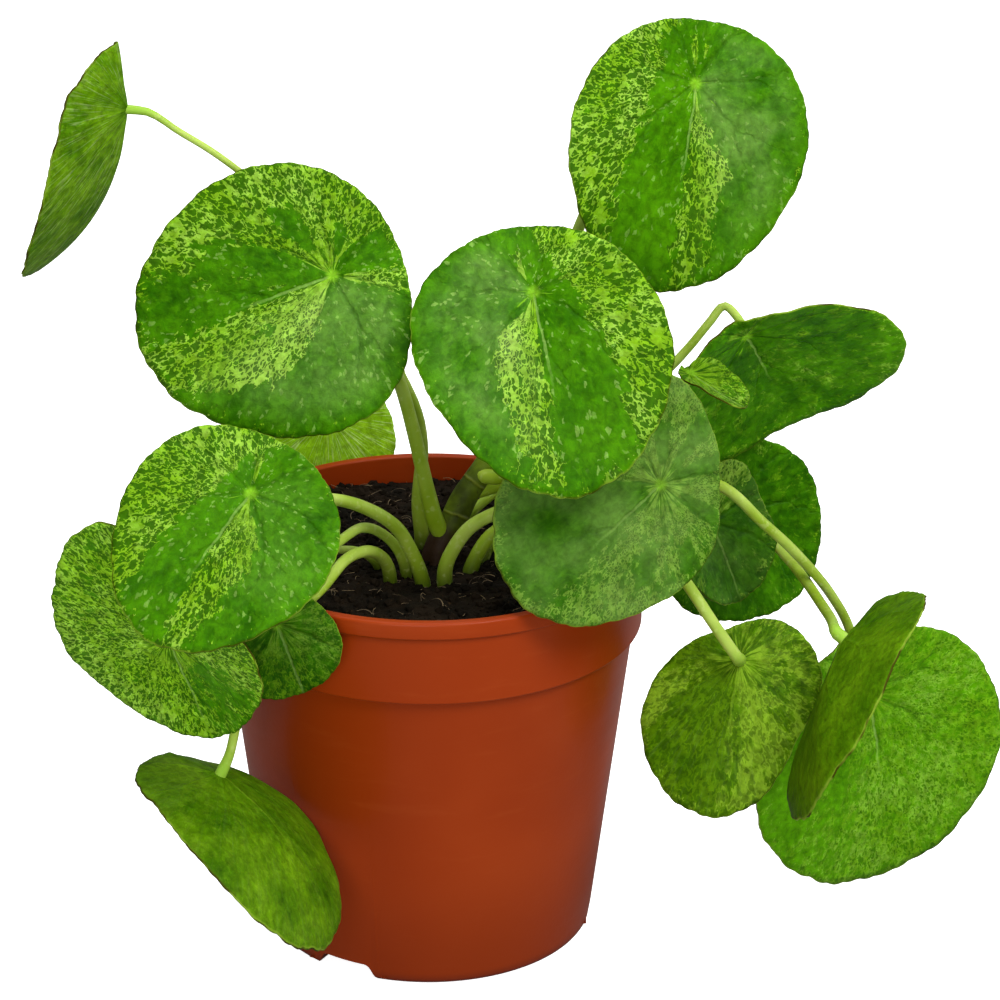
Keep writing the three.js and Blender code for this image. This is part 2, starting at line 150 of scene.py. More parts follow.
class Board:
    """A node tree with short ways to add and join nodes."""

    def __init__(self, tree):
        self.tree = tree

    def give(self, socket, value):
        if isinstance(value, Value):
            self.tree.links.new(value.socket, socket)
        else:
            socket.default_value = value

    def add(self, kind, inputs=None, **settings):
        node = self.tree.nodes.new(kind)
        for name, value in settings.items():
            setattr(node, name, value)
        for name, value in (inputs or {}).items():
            self.give(node.inputs[name], value)
        return node

    def value(self, kind, inputs=None, output=0, **settings):
        """Adds a node and takes one of its outputs."""
        return Value(self, self.add(kind, inputs, **settings).outputs[output])

    def vector(self, operation, first, second=None, output=0):
        inputs = {0: first}
        if second is not None:
            inputs["Scale" if operation == "SCALE" else 1] = second
        return self.value("ShaderNodeVectorMath", inputs, output, operation=operation)

    def math(self, operation, first, *others):
        """Works on numbers, or on vectors and colours where the first value is one."""
        if isinstance(first, Value) and first.socket.type in ("VECTOR", "RGBA"):
            return self.vector("SCALE" if operation == "MULTIPLY" else operation, first, *others)
        return self.value("ShaderNodeMath", dict(enumerate((first, *others))), operation=operation)

    def blend(self, share, first, second):
        """Mixes two colours. A mix node has its colours at sockets 6 and 7, and its numbers at 2 and 3."""
        return self.value("ShaderNodeMix", {0: share, 6: first, 7: second}, 2, data_type="RGBA")

    def blend_values(self, share, first, second):
        return self.value("ShaderNodeMix", {0: share, 2: first, 3: second}, data_type="FLOAT")

    def noise(self, place, scale, detail=2.0, roughness=0.5, distortion=0.0, output="Fac"):
        inputs = {"Vector": place, "Scale": scale, "Detail": detail, "Roughness": roughness,
                  "Distortion": distortion}
        return self.value("ShaderNodeTexNoise", inputs, output)

    def join(self, x=0.0, y=0.0, z=0.0, kind="XYZ"):
        return self.value("ShaderNodeCombine" + kind, {0: x, 1: y, 2: z})

    def split(self, value, kind="XYZ"):
        return [Value(self, socket) for socket in self.add("ShaderNodeSeparate" + kind, {0: value}).outputs]

    def place(self):
        """The place of each point of a surface, in metres."""
        return self.value("ShaderNodeTexCoord", output="Object")

    def attribute(self, name, output="Fac"):
        settings = {"attribute_type": "GEOMETRY", "attribute_name": name}
        return self.value("ShaderNodeAttribute", output=output, **settings)


def open_tree(name, kind, inputs):
    """A group of nodes with named inputs, each given with its kind."""
    board = Board(bpy.data.node_groups.new(name, kind))
    for socket_name, socket_kind in inputs.items():
        board.tree.interface.new_socket(socket_name, in_out="INPUT", socket_type="NodeSocket" + socket_kind)
    entry = board.add("NodeGroupInput")
    return board, {socket_name: Value(board, entry.outputs[socket_name]) for socket_name in inputs}


def close_tree(board, kind, results):
    """Leads the results out of a group, under their names."""
    for name in results:
        board.tree.interface.new_socket(name, in_out="OUTPUT", socket_type="NodeSocket" + kind)
    leave = board.add("NodeGroupOutput")
    for name, value in results.items():
        board.give(leave.inputs[name], value)
    return board.tree


def new_material(name):
    material = bpy.data.materials.new(name)
    material.use_nodes = True
    return material, Board(material.node_tree)


def set_finish(board, inputs, relief=None, strength=0.6, depth=0.4 * MM):
    """Gives a material's shader its inputs, and its relief as a bump."""
    shader = board.tree.nodes["Principled BSDF"]
    for name, value in inputs.items():
        board.give(shader.inputs[name], value)
    if relief is not None:
        bump = {"Height": relief, "Strength": strength, "Distance": depth}
        board.give(shader.inputs["Normal"], board.value("ShaderNodeBump", bump))


print("helpers ready")

# %% [markdown]
# Three of the pieces are shells: points in rings between two poles. One helper joins such rings with faces,
# and another makes the mesh, so that each piece below only has to say where its points are.

# %% Helpers for meshes


def shell_faces(rings, spokes, from_below=False):
    """The faces of a closed shell: a pole on top or below, rings of points round it, and the other pole."""
    faces = []
    last = 1 + (rings - 1) * spokes
    for k in range(spokes):
        after = (k + 1) % spokes
        faces.append((0, 1 + k, 1 + after))
        for low in range(1, last, spokes):
            high = low + spokes
            faces.append((low + k, high + k, high + after, low + after))
        faces.append((last + k, last + spokes, last + after))
    return [(face[0], *face[:0:-1]) for face in faces] if from_below else faces


def add_mesh(name, points, faces, scale=MM):
    mesh = bpy.data.meshes.new(name)
    mesh.from_pydata((np.asarray(points, float) * scale).tolist(), [], faces)
    return add_object(name, mesh)


print("faces of a small shell:", len(shell_faces(3, 8)))

# %% [markdown]
# ## The leaf numbers
# Each leaf is carried by its stalk near its middle, like a plate on a stick. These are the same numbers as
# in the measured model: where the stalk meets it, how its face turns, how far its rim reaches at every
# eighth of a turn from the tip, how it curls and folds, and the run of its stalk.

# %% Leaf and stalk numbers
LEAVES = {
    "far_left": dict(
        place=(-81.9, 20.6, 231.2), turn=-98, lift=5, hang=-19,
        reach=(62, 42, 27, 22, 22, 14, 20, 36), curl=(0.0116, 0), fold=36, radii=(2, 0.95),
        run=((-2, 3, 98), (-2, 3, 106), (-2, 3, 113), (-3, 3, 123), (-2.6, 3.5, 131), (-1.8, 4.5, 139),
             (-3.1, 6, 148.6), (-8, 8, 160), (-20, 11, 181), (-36, 13, 203), (-50.6, 15, 215.3),
             (-58.7, 17, 220.8), (-67, 19, 225.4))),
    "upper_left": dict(
        place=(-25.2, -25, 199.9), turn=-10, lift=18, hang=-67,
        reach=(57, 47, 38, 24, 19, 23, 32, 44), curl=(-0.004, -0.004), fold=10, radii=(2.2, 1.6),
        run=((3.5, -3, 117), (1.5, -4.5, 122), (-0.5, -5.5, 131), (-4.3, -6, 149), (-8, -6, 163),
             (-15, -7, 180), (-21, -10, 191))),
    "middle": dict(
        place=(27, -38, 200), turn=-5, lift=34, hang=14,
        reach=(55, 44, 28, 20, 18, 22, 33, 42), curl=(-0.004, -0.004), fold=12, radii=(1.9, 1.4),
        run=((27, 9, 148), (26, 1, 156), (26, -9, 171), (27, -20, 184))),
    "top_right": dict(
        place=(71, 8, 242), turn=17, lift=14, hang=-12,
        reach=(57, 43, 30, 21, 17, 21, 31, 45), curl=(-0.004, -0.004), fold=10, radii=(1.9, 1.4),
        run=((30, 10, 152), (31, 13, 163), (36, 18, 184), (48, 23, 213), (60, 22, 232))),
    "left": dict(
        place=(-45.2, -76, 159.6), turn=-2, lift=40, hang=-34,
        reach=(46, 37, 28, 19, 16, 18, 25, 35), curl=(-0.004, -0.005), fold=9, radii=(2.1, 1.5),
        run=((-1.4, -20, 98), (-1.4, -20, 107), (-2.6, -20.5, 113.5), (-5, -22.5, 120.7), (-9, -26, 129),
             (-19, -37, 140), (-30, -52, 148), (-40, -62, 150))),
    "lower_left": dict(
        place=(-68, -66, 114), turn=-32, lift=-18, hang=16,
        reach=(31, 30, 36, 33, 40, 33, 33, 29), curl=(0.003, 0.003), fold=8, radii=(1.5, 1.2),
        run=((-6, -14, 98), (-6, -14, 107), (-7, -15, 114), (-11, -20, 123), (-18, -29, 130), (-25, -38, 129),
             (-38, -48, 124), (-54, -55, 119))),
    "small_left": dict(
        place=(-40, -58, 115), turn=0, lift=16, hang=21,
        reach=(20, 19, 13, 10, 9, 10, 14, 20), curl=(-0.006, -0.006), fold=8, radii=(1.3, 1),
        run=((-13, -7, 98), (-13, -7, 106), (-16, -12, 114), (-23, -23, 121),
             (-31, -37, 124), (-37, -46, 121))),
    "hanging_left": dict(
        place=(-56, -60, 71), turn=-74, lift=-65, hang=43,
        reach=(55, 46, 29, 23, 16, 21, 31, 39), curl=(0.0175, 0.011), fold=2, radii=(1.8, 1.3),
        run=((-10.5, -17, 98), (-10.5, -17, 107), (-11.5, -21, 116), (-16, -31, 124), (-22, -41, 126),
             (-28, -50, 122), (-36, -54, 115), (-44, -56, 104), (-50, -57, 90))),
    "right": dict(
        place=(87, 12, 168.7), turn=27, lift=-37, hang=35,
        reach=(52, 52, 28, 16, 11, 15, 28, 53), curl=(0.004, 0), fold=12, radii=(1.7, 1.2),
        run=((24, 8, 145), (34, 14, 146), (52, 15, 151), (64, 15, 157),
             (71, 16, 164), (77, 18, 171), (81, 20, 175))),
    "young": dict(
        place=(70, -12, 168), turn=35, lift=65, hang=10,
        reach=(20, 12, 6, 3, 3, 3, 6, 11), curl=(0.012, 0.03), fold=30, radii=(1.1, 0.9),
        run=((26, 8, 147), (36, 2, 148), (50, -5, 153), (61, -10, 161))),
    "right_middle": dict(
        place=(61, -40, 146.8), turn=14, lift=24, hang=-54,
        reach=(49, 32, 22, 16, 20, 30, 28, 43), curl=(-0.003, -0.004), fold=6, radii=(2.2, 1.5),
        run=((4.2, -20, 98), (4.2, -20, 107), (4.4, -20, 114.5), (7, -20.5, 121), (11, -21, 126.6),
             (17, -22, 130.8), (32, -24.5, 137), (47, -28, 142))),
    "lower_right": dict(
        place=(84.9, -19.5, 86.3), turn=168, lift=-31, hang=4,
        reach=(44, 35, 18, 10, 11, 17, 23, 27), curl=(0.004, 0.004), fold=10, radii=(2, 1.6),
        run=((10.5, -11, 98), (10.5, -11, 106), (12.5, -11, 113), (18, -11, 121), (34, -11, 126),
             (51, -12, 125), (62, -15, 119), (70, -19, 109), (78, -24, 98))),
    "back_right": dict(
        place=(88, 42, 104), turn=26, lift=13, hang=-6,
        reach=(31, 31, 26, 24, 22, 24, 26, 32), curl=(0.005, 0.003), fold=6, radii=(1.5, 1.1),
        run=((5, 9, 98), (5, 9, 106), (10, 12, 115), (28, 22, 125), (52, 37, 123), (72, 48, 112))),
    "inner_right": dict(
        place=(78.8, 12, 113.8), turn=33, lift=19, hang=11,
        reach=(24, 20, 16, 19, 14, 17, 19, 21), curl=(0.006, 0.01), fold=14, radii=(1.4, 1.1),
        run=((14, -4, 98), (14, -4, 106), (17, -3, 114), (24, 3, 121), (38, 12, 125), (56, 19, 122),
             (68, 20, 115))),
    "cupped_right": dict(
        place=(112.3, -35.6, 99.3), turn=72, lift=-34, hang=-72,
        reach=(51, 47, 29, 21, 18, 21, 30, 40), curl=(0.012, 0.001), fold=16, radii=(1.9, 1.5),
        bend=3,
        run=((10, 2, 127), (18, 5, 128), (34, 13, 130), (54, 22, 127), (74, 27, 119), (88, 28, 110.5),
             (98.7, 23, 101.3), (104.5, 8, 98.6), (108, -8, 97.8), (109.5, -20, 98.8))),
    "bottom_right": dict(
        place=(123.6, 2.2, 65.4), turn=25, lift=4, hang=9,
        reach=(62, 52, 36, 23, 20, 21, 38, 53), curl=(-0.004, -0.004), fold=8, radii=(1.8, 1.4),
        run=((12, 4, 132), (19, -1, 133), (36, -4, 137), (58, -6, 138),
             (80, -6, 132), (91, -4, 121), (100, 0, 111), (112, 8, 94), (119, 13, 79))),
    "back_left": dict(
        place=(-29.5, 65, 125), turn=-166, lift=-23, hang=7,
        reach=(28, 25, 20, 15, 13, 15, 20, 26), curl=(0.006, 0.006), fold=6, radii=(1.4, 1.1),
        run=((-1, 11, 98), (-1, 11, 106), (-1.5, 11, 120), (-3, 11.5, 135), (-6, 13, 150), (-10, 16, 165),
             (-18, 24, 177), (-26, 38, 175), (-30, 50, 156), (-29, 56, 139))),
}
print("leaves:", len(LEAVES))

# %% [markdown]
# ## How a leaf is coloured
# The leaves are mottled in lime and dark green. The mottling isn't the same all over: most leaves have a
# lime band along one side and a lime wedge beside the midrib, and stay dark between them, as the real
# plant's cells divide in sectors. Each leaf therefore gets fields in its own round measure: an angle from
# the tip, and a share of the way from the stalk to the rim. The fine flecks come from a shader later, so
# they stay crisp.

# %% Sectors of lime and dark on each leaf
BAND_NARROW = ((20, 1.05), (24, 0.88), (30, 0.76), (36, 0.61), (42, 0.52), (54, 0.40), (108, 0.40),
               (126, 0.67), (150, 0.95), (180, 1.1))
BAND_BROAD = ((12, 1.05), (18, 0.95), (24, 0.76), (33, 0.55), (48, 0.37), (63, 0.31), (117, 0.37),
              (153, 0.67), (180, 0.95))
BAND_STEEP = ((20, 1.05), (24, 0.94), (27, 0.76), (36, 0.70), (45, 0.60), (50, 0.36), (84, 0.37),
              (120, 0.37), (159, 0.61), (170, 0.95), (180, 1.05))
BAND_TO_STALK = ((10, 1.05), (20, 0.97), (24, 0.82), (33, 0.73), (36, 0.67), (42, 0.52), (47, 0.34),
                 (48, 0.05), (129, 0.1), (135, 0.24), (147, 0.57), (156, 0.85), (180, 1.1))
WEDGE_SLIM = ((0, 14), (0.13, 14), (0.34, 27), (0.49, 33), (0.55, 27), (0.73, 18), (0.85, 12), (1, 9))
WEDGE_FANNED = ((0, 30), (0.07, 30), (0.22, 46), (0.4, 44), (0.55, 34), (0.64, 25), (0.76, 19), (0.85, 13),
                (1, 9))
WEDGE_WIDE = ((0, 52), (0.16, 54), (0.31, 54), (0.46, 49), (0.64, 43), (0.73, 36), (0.85, 22), (1, 14))

# side: which side of the midrib carries the band; ground: how lime the rest is; tone: dark to bright;
# fine: how fine the flecks are; soft: how blurred; specks: how many pale specks; shade: the whole leaf
# darker or brighter, partly its own tone and partly painted light and shade; streak: pale streaks on the
# under face; mottle: how strong the mottling is; bloom: how strong the painted sheen is, a greyish
# coat on the dark side; sectors: (angle, half width, from, to, strength)
PLAIN = dict(side=0, ground=0.4, tone=0.0, fine=0.9, soft=0.0, specks=0.2, shade=1.0, streak=0.2, mottle=1.0,
             bloom=0.0, sectors=())
PATTERNS = {
    "far_left": dict(ground=0.35, tone=0.15, fine=0.7, soft=1.0, streak=0.5, mottle=0.5, shade=1.22),
    "upper_left": dict(
        side=-1, band=BAND_TO_STALK, wedge=WEDGE_WIDE, start=2, bloom=0.8, ground=0.0, tone=0.1, fine=1.0,
        specks=0.8,
        sectors=((-72, 11, 0.16, 0.58, -0.75), (-124, 9, 0.18, 0.5, -0.8), (157, 12, 0.1, 0.95, 0.75),
                 (-19, 8, 0.35, 0.8, 0.36), (-8, 4, 0.12, 0.34, 0.5), (20, 5, 0.3, 0.5, -0.35))),
    "middle": dict(
        side=1, band=BAND_STEEP, wedge=WEDGE_FANNED, start=4, bloom=1, ground=0.0, tone=0.2, fine=0.95,
        specks=1.0, shade=0.92, sectors=((40, 5, 0.5, 0.62, 0.5), (-165, 12, 0.1, 0.6, 0.5))),
    "top_right": dict(
        side=-1, band=BAND_NARROW, wedge=WEDGE_SLIM, start=2, bloom=1, ground=0.0, tone=0.3, fine=0.95,
        specks=0.7, shade=0.97, sectors=((-168, 8, 0.2, 0.7, 0.6), (172, 5, 0.2, 0.6, 0.5))),
    "left": dict(
        side=-1, band=BAND_BROAD, wedge=WEDGE_FANNED, start=3, bloom=0.25, ground=0.0, tone=0.2, fine=1.05,
        specks=0.9, shade=0.87, sectors=((-160, 10, 0.1, 0.6, 0.5),)),
    "lower_left": dict(
        ground=0.78, tone=0.2, fine=1.1, soft=0.35, shade=1.42, bloom=0.1,
        sectors=((35, 32, 0.25, 1.0, -0.42),)),
    "small_left": dict(mottle=0.6, ground=0.5, tone=-0.3, fine=1.3, soft=0.8, shade=0.56, specks=0.0),
    "hanging_left": dict(
        ground=0.3, tone=0.1, fine=1.0, soft=1.0, streak=0.05, mottle=0.4, shade=0.88,
        sectors=((126, 34, 0.2, 1.0, 0.9),)),
    "right": dict(
        mottle=0.8, ground=0.2, tone=0.1, fine=0.8, soft=1.0, shade=1.34, specks=0.0,
        sectors=((180, 40, 0.0, 0.5, 0.3),)),
    "young": dict(ground=0.62, tone=0.4, fine=1.2, soft=0.4, shade=0.72),
    "right_middle": dict(
        mottle=0.54, ground=0.6, tone=0.5, fine=1.4, soft=0.3, shade=0.66, bloom=1.0, specks=0.0,
        sectors=((-20, 21, 0.06, 0.88, -0.9), (-168, 7, 0.15, 0.95, -0.6), (162, 8, 0.2, 0.95, -0.6),
                 (108, 8, 0.3, 0.9, -0.6), (-132, 8, 0.15, 0.5, -0.5), (37, 6, 0.4, 0.75, -0.45),
                 (69, 6, 0.6, 1.0, -0.45), (135, 12, 0.4, 1.0, 0.14), (-150, 8, 0.5, 1.0, 0.2))),
    "lower_right": dict(
        ground=0.46, tone=0.3, fine=0.75, soft=0.5, streak=0.06, mottle=1.5, shade=0.84,
        sectors=((20, 26, 0.12, 0.92, -0.4), (104, 24, 0.5, 1.0, -0.42), (58, 12, 0.6, 1.0, 0.2),
                 (-24, 20, 0.15, 0.9, 0.24), (-110, 22, 0.2, 0.8, 0.1))),
    "back_right": dict(ground=0.12, tone=-0.1, fine=0.8, soft=0.9, shade=0.86, specks=0.0),
    "inner_right": dict(
        ground=0.12, tone=0.0, fine=0.8, soft=0.8, bloom=0.5, shade=0.56, specks=0.2,
        sectors=((180, 60, 0.0, 1.0, 0.62),)),
    "cupped_right": dict(ground=0.1, tone=0.05, fine=0.9, soft=1.0, streak=0.0, mottle=0.25, shade=0.9),
    "bottom_right": dict(
        mottle=0.55, ground=0.6, tone=1, fine=1.3, soft=1.0, shade=1.02, specks=0.0,
        sectors=((-60, 34, 0.2, 1.0, -0.4), (15, 30, 0.3, 0.85, 0.12))),
    "back_left": dict(ground=0.5, tone=0.9, fine=0.8, soft=1.0, streak=0.8, mottle=0.6, shade=1.55),
}
PATTERNS = {name: {**PLAIN, **pattern} for name, pattern in PATTERNS.items()}
BAND_STEEPNESS = 3.2
WEDGE_EDGE = 20
WEDGE_START_EDGE = 9
WEDGE_OVERLAP = 4
STRONGEST_LIME = 0.92
SECTOR_FADE = 0.1
# Where the painted sheen lies, in degrees: its middle angle from the tip, half its width and its soft edge
PAINTED_SHEEN_MIDDLE = 82
PAINTED_SHEEN_HALF_WIDTH = 78
PAINTED_SHEEN_EDGE = 35


def lime_field(name, angle, share):
    """How strongly each point of a leaf tends to lime, from 0 to 1. Angles are in degrees from the tip."""
    pattern = PATTERNS[name]
    field = np.full(angle.shape, pattern["ground"])
    if pattern["side"]:
        turned = angle * pattern["side"]
        inner = np.interp(np.abs(angle), *zip(*pattern["band"]))
        band = np.where(turned > 0, 0.5 + (share - inner) * BAND_STEEPNESS, 0)
        to_edge = (np.interp(share, *zip(*pattern["wedge"])) + turned) / WEDGE_EDGE
        beside = (-turned - pattern["start"]) / WEDGE_START_EDGE
        wedge = np.where(turned < WEDGE_OVERLAP, 0.5 + np.minimum(beside, to_edge), 0)
        field = np.maximum(field, np.clip(np.maximum(band, wedge), 0, STRONGEST_LIME))
    for centre, half_width, start, end, strength in pattern["sectors"]:
        away = np.abs((angle - centre + 180) % 360 - 180)
        across = np.clip(1.5 - away / half_width, 0, 1)
        along = np.clip((share - start) / SECTOR_FADE, 0, 1) * np.clip((end - share) / SECTOR_FADE + 1, 0, 1)
        field = field + strength * across * along
    return np.clip(field, 0, 1)


def painted_sheen_field(name, angle, share):
    """Where the painted sheen lies: a greyish coat on the dark side that has no band, from 0 to 1."""
    pattern = PATTERNS[name]
    if not pattern["side"]:
        return np.full(angle.shape, float(pattern["bloom"]))
    away = np.abs((angle + PAINTED_SHEEN_MIDDLE * pattern["side"] + 180) % 360 - 180)
    across = np.clip((PAINTED_SHEEN_HALF_WIDTH - away) / PAINTED_SHEEN_EDGE, 0, 1)
    along = np.clip(share / 0.12, 0, 1) * np.clip((0.97 - share) / 0.25, 0, 1)
    return across * along * pattern["bloom"]


print("patterns:", len(PATTERNS))

# %% [markdown]
# ## The blade of a leaf
# A blade is a thin dish. Its net of points runs in rings from the stalk to the rim on the upper face, and
# back to the stalk on the under face, so both bend alike. The rim waves, has shallow rounded teeth and is
# thinner than the middle, and the main veins lie in fine grooves. Python writes this net, because every
# leaf has its own outline.

# %% Bending and folding a leaf
BLADE_THICKNESS = 1.0
RIM_THICKNESS = 0.5
RIM_WAVE = 1.1
RIM_WAVES = 3
RIPPLE = 0.22
RIPPLES = 9
FINE_RIPPLE = 0.12
FINE_RIPPLES = 17
FOLD_SOFTNESS = 3
VEIN_SPACING = math.radians(52)
VEIN_SWEEP = 0.003
VEIN_FORK_START = 16
VEIN_FORK_SPREAD = 0.5
VEIN_GROOVE = 0.14
VEIN_GROOVE_WIDTH = 1.2
VEIN_START = 8
DIMPLE = 0.75
DIMPLE_RADIUS = 5
STRAIGHT = 1e-6


def ring_value(values, angle):
    """A smooth closed ring of values, read at angles in radians."""
    values = np.asarray(values, float)
    count = len(values)
    place = (angle / (2 * math.pi)) % 1 * count
    index = np.floor(place).astype(int)
    f = place - index
    before, start, end, after = (values[(index + k) % count] for k in (-1, 0, 1, 2))
    bend = 2 * before - 5 * start + 4 * end - after
    twist = -before + 3 * start - 3 * end + after
    return 0.5 * (2 * start + (end - before) * f + bend * f ** 2 + twist * f ** 3)


def bent(curvature, distance):
    """Where a point of a flat strip goes when the strip is bent: along it, and out of it."""
    if abs(curvature) < STRAIGHT:
        return distance, np.zeros_like(distance)
    return np.sin(curvature * distance) / curvature, (1 - np.cos(curvature * distance)) / curvature


def leaf_axes(leaf):
    turn, lift, hang = (math.radians(leaf[key]) for key in ("turn", "lift", "hang"))
    face = Vector((math.sin(turn) * math.cos(lift), -math.cos(turn) * math.cos(lift), math.sin(lift)))
    level = Vector((math.cos(turn), math.sin(turn), 0))
    down = level.cross(face)
    tip = down * math.cos(hang) + level * math.sin(hang)
    return tip, face.cross(tip), face


def vein_distance(along, across):
    """Distance to the nearest main vein. The veins leave the stalk like spokes, sweep to the tip and fork."""
    radius = np.hypot(along, across)
    angle = np.arctan2(across, along)
    spoke = angle * (1 + VEIN_SWEEP * radius)
    away = np.abs((spoke + VEIN_SPACING / 2) % VEIN_SPACING - VEIN_SPACING / 2) * radius
    return np.abs(away - np.maximum(radius - VEIN_FORK_START, 0) * VEIN_FORK_SPREAD)


def blade_surface(leaf, angle, share, reach):
    """The middle surface of a blade, in millimetres, with its flat measures."""
    radius = reach * share
    along = radius * np.cos(angle)
    across = radius * np.sin(angle)
    fold = math.radians(leaf["fold"])
    rise = (np.hypot(across, FOLD_SOFTNESS) - FOLD_SOFTNESS) * math.sin(fold)
    x, lift_along = bent(leaf["curl"][0], along)
    y, lift_across = bent(leaf["curl"][1], across * math.cos(fold))
    start = leaf["place"][0]
    wave = RIM_WAVE * share ** 2 * np.cos(RIM_WAVES * angle + start)
    wave = wave + RIPPLE * share ** 5 * np.cos(RIPPLES * angle + start)
    wave = wave + FINE_RIPPLE * share ** 7 * np.cos(FINE_RIPPLES * angle)
    groove = VEIN_GROOVE * np.exp(-(vein_distance(along, across) / VEIN_GROOVE_WIDTH) ** 2)
    groove = groove * np.clip(radius / VEIN_START, 0, 1) * (1 - share ** 4)
    dimple = DIMPLE * np.exp(-(radius / DIMPLE_RADIUS) ** 2)
    return x, y, lift_along + lift_across + rise + wave - groove - dimple, along, across


print("a leaf's directions:", [tuple(round(v, 2) for v in axis) for axis in leaf_axes(LEAVES["middle"])])

# %% [markdown]
# The mesh also keeps what the finish needs to know at each point: its flat place on the leaf,
# how lime it is, how much painted sheen it gets, and how near the rim. A material can read such an
# attribute by its name.

# %% The blade as a mesh
RING_COUNT = 22
RING_CROWDING = 0.92
SPOKE_COUNT = 240
TOOTH_DEPTH = 0.013
TEETH = 20
FINE_TOOTH_DEPTH = 0.009
FINE_TEETH = 58


def store(mesh, name, kind, values):
    layer = mesh.attributes.new(name, kind, "POINT")
    values = np.ascontiguousarray(values, float).ravel()
    layer.data.foreach_set("vector" if kind == "FLOAT_VECTOR" else "value", values)


def make_blade(name, leaf):
    """Rings go out on the upper face and back on the under face, from pole to pole."""
    circle = np.linspace(0, 2 * math.pi, SPOKE_COUNT, endpoint=False)
    tooth = TOOTH_DEPTH * (1 - np.abs(np.cos(TEETH / 2 * circle)))
    tooth += FINE_TOOTH_DEPTH * (1 - np.abs(np.cos(FINE_TEETH / 2 * circle + 1.2 * np.sin(5 * circle))))
    smooth_reach = ring_value(leaf["reach"], circle)
    shares = np.linspace(0, 1, RING_COUNT + 1) ** RING_CROWDING
    seed = float(sum(leaf["place"]))
    points, marks = [], []
    for side, share in [(1, share) for share in shares] + [(-1, share) for share in shares[::-1]]:
        angle = circle if share > 0 else circle[:1]
        reach = (smooth_reach * (1 - tooth * share ** 6))[:len(angle)]
        x, y, z, along, across = blade_surface(leaf, angle, share, reach)
        thickness = BLADE_THICKNESS + (RIM_THICKNESS - BLADE_THICKNESS) * share ** 8
        points.append(np.stack([x, y, z + side * thickness / 2], 1))
        degrees = (np.degrees(angle) + 180) % 360 - 180
        lime, bloom = lime_field(name, degrees, share), painted_sheen_field(name, degrees, share)
        marks.append(np.stack(np.broadcast_arrays(along, across, seed, lime, bloom, share), 1))
    local, marks = np.concatenate(points), np.concatenate(marks)
    tip, across, out = (np.array(axis) for axis in leaf_axes(leaf))
    world = np.array(leaf["place"]) + local[:, :1] * tip + local[:, 1:2] * across + local[:, 2:] * out
    blade = add_mesh("blade_" + name, world, shell_faces(2 * RING_COUNT, SPOKE_COUNT))
    upper, rim, under = [0] * RING_COUNT, [2], [1] * RING_COUNT
    blade.data.polygons.foreach_set("material_index", (upper + rim + under) * SPOKE_COUNT)
    blade.data.shade_smooth()
    store(blade.data, "leaf_plane", "FLOAT_VECTOR", marks[:, :3])
    for column, label in enumerate(("lime", "bloom", "share"), 3):
        store(blade.data, "leaf_" + label, "FLOAT", marks[:, column])
    for label in ("tone", "fine", "soft", "specks", "shade", "streak", "mottle"):
        store(blade.data, "leaf_" + label, "FLOAT", np.full(len(local), PATTERNS[name][label]))
    return blade


blades = {name: make_blade(name, leaf) for name, leaf in LEAVES.items()}
print("points in one blade:", len(blades["middle"].data.vertices))

# %% [markdown]
# ## The leaf finish
# The upper and the under face share their marks, so the marks are built once as a group. A fine net of
# cells, pulled out of shape by noise, gives the lace: some cells are dark, and the lime stays as thin
# strands between them. The same cells make the edge between lime and dark ragged. Near the stalk the marks
# stretch into streaks that run out like a star, so there a noise is read in a round measure instead of a
# flat one.

# %% Shader group: leaf mottling
CELLS_PER_MM = 0.62
CELL_PULL = 4.2
SMALL_CELLS_PER_MM = 1.3
SMALL_CELL_PULL = 1.6
MIDDLE_GREY = (0.5, 0.5, 0.5)
STRETCH_RADIUS = 20.0
STRETCH_POWER = -0.4
CLOUDS_PER_MM = 0.07
PATCHES_PER_MM = 0.2
SHADES_PER_MM = 0.42
PULLS_PER_MM = 0.7
CHUNKS_PER_MM = 0.5
STRANDS_PER_MM = 0.9
BRIGHT_PATCHES_PER_MM = 0.32
STREAKS_ROUND = 7.0
MARGIN_MARKS_ROUND = 16.0
FAN_LINES_ROUND = 34.0
RAGGEDNESS = 1.3
COARSE_SHARE = 0.12
SMALL_SHARE = 0.3
STAR_LEVEL = 0.57
STAR_REACH = 60.0

# Fades in millimetres: where a mark is gone, and where it is full
STREAKS_FADE = (16.0, 4.0)
FLECK_STREAKS_FADE = (11.0, 4.0)
STAR_FADE = (10.0, 4.0)
STAR_HEART_FADE = (2.4, 0.7)
FAN_FADE = (1.0, 8.0)
VEIN_WIDTH = (0.8, 0.05)
VEIN_FADE = (40.0, 10.0)
MIDRIB_WIDTH = (0.5, 0.15)
MIDRIB_FADE = (30.0, 12.0)
MIDRIB_START = (0.0, 2.0)


def build_cells(board, place, scale):
    """Cells of a flat net: random draws for each, and the distance to the nearest border."""
    net = {"Vector": place, "Scale": scale}
    colour = board.value("ShaderNodeTexVoronoi", net, "Color", voronoi_dimensions="2D")
    border = board.value("ShaderNodeTexVoronoi", net, "Distance", voronoi_dimensions="2D",
                         feature="DISTANCE_TO_EDGE")
    return board.split(colour, "Color"), border


def build_flecks(draws, border, strand, blur, patches, share):
    """Dark islands inside the cells: a share of the cells, with lime strands left between them."""
    chosen = (patches * 1.3 + draws[0]).step(share - blur, share + blur)
    return border.step(strand, strand + blur) * chosen


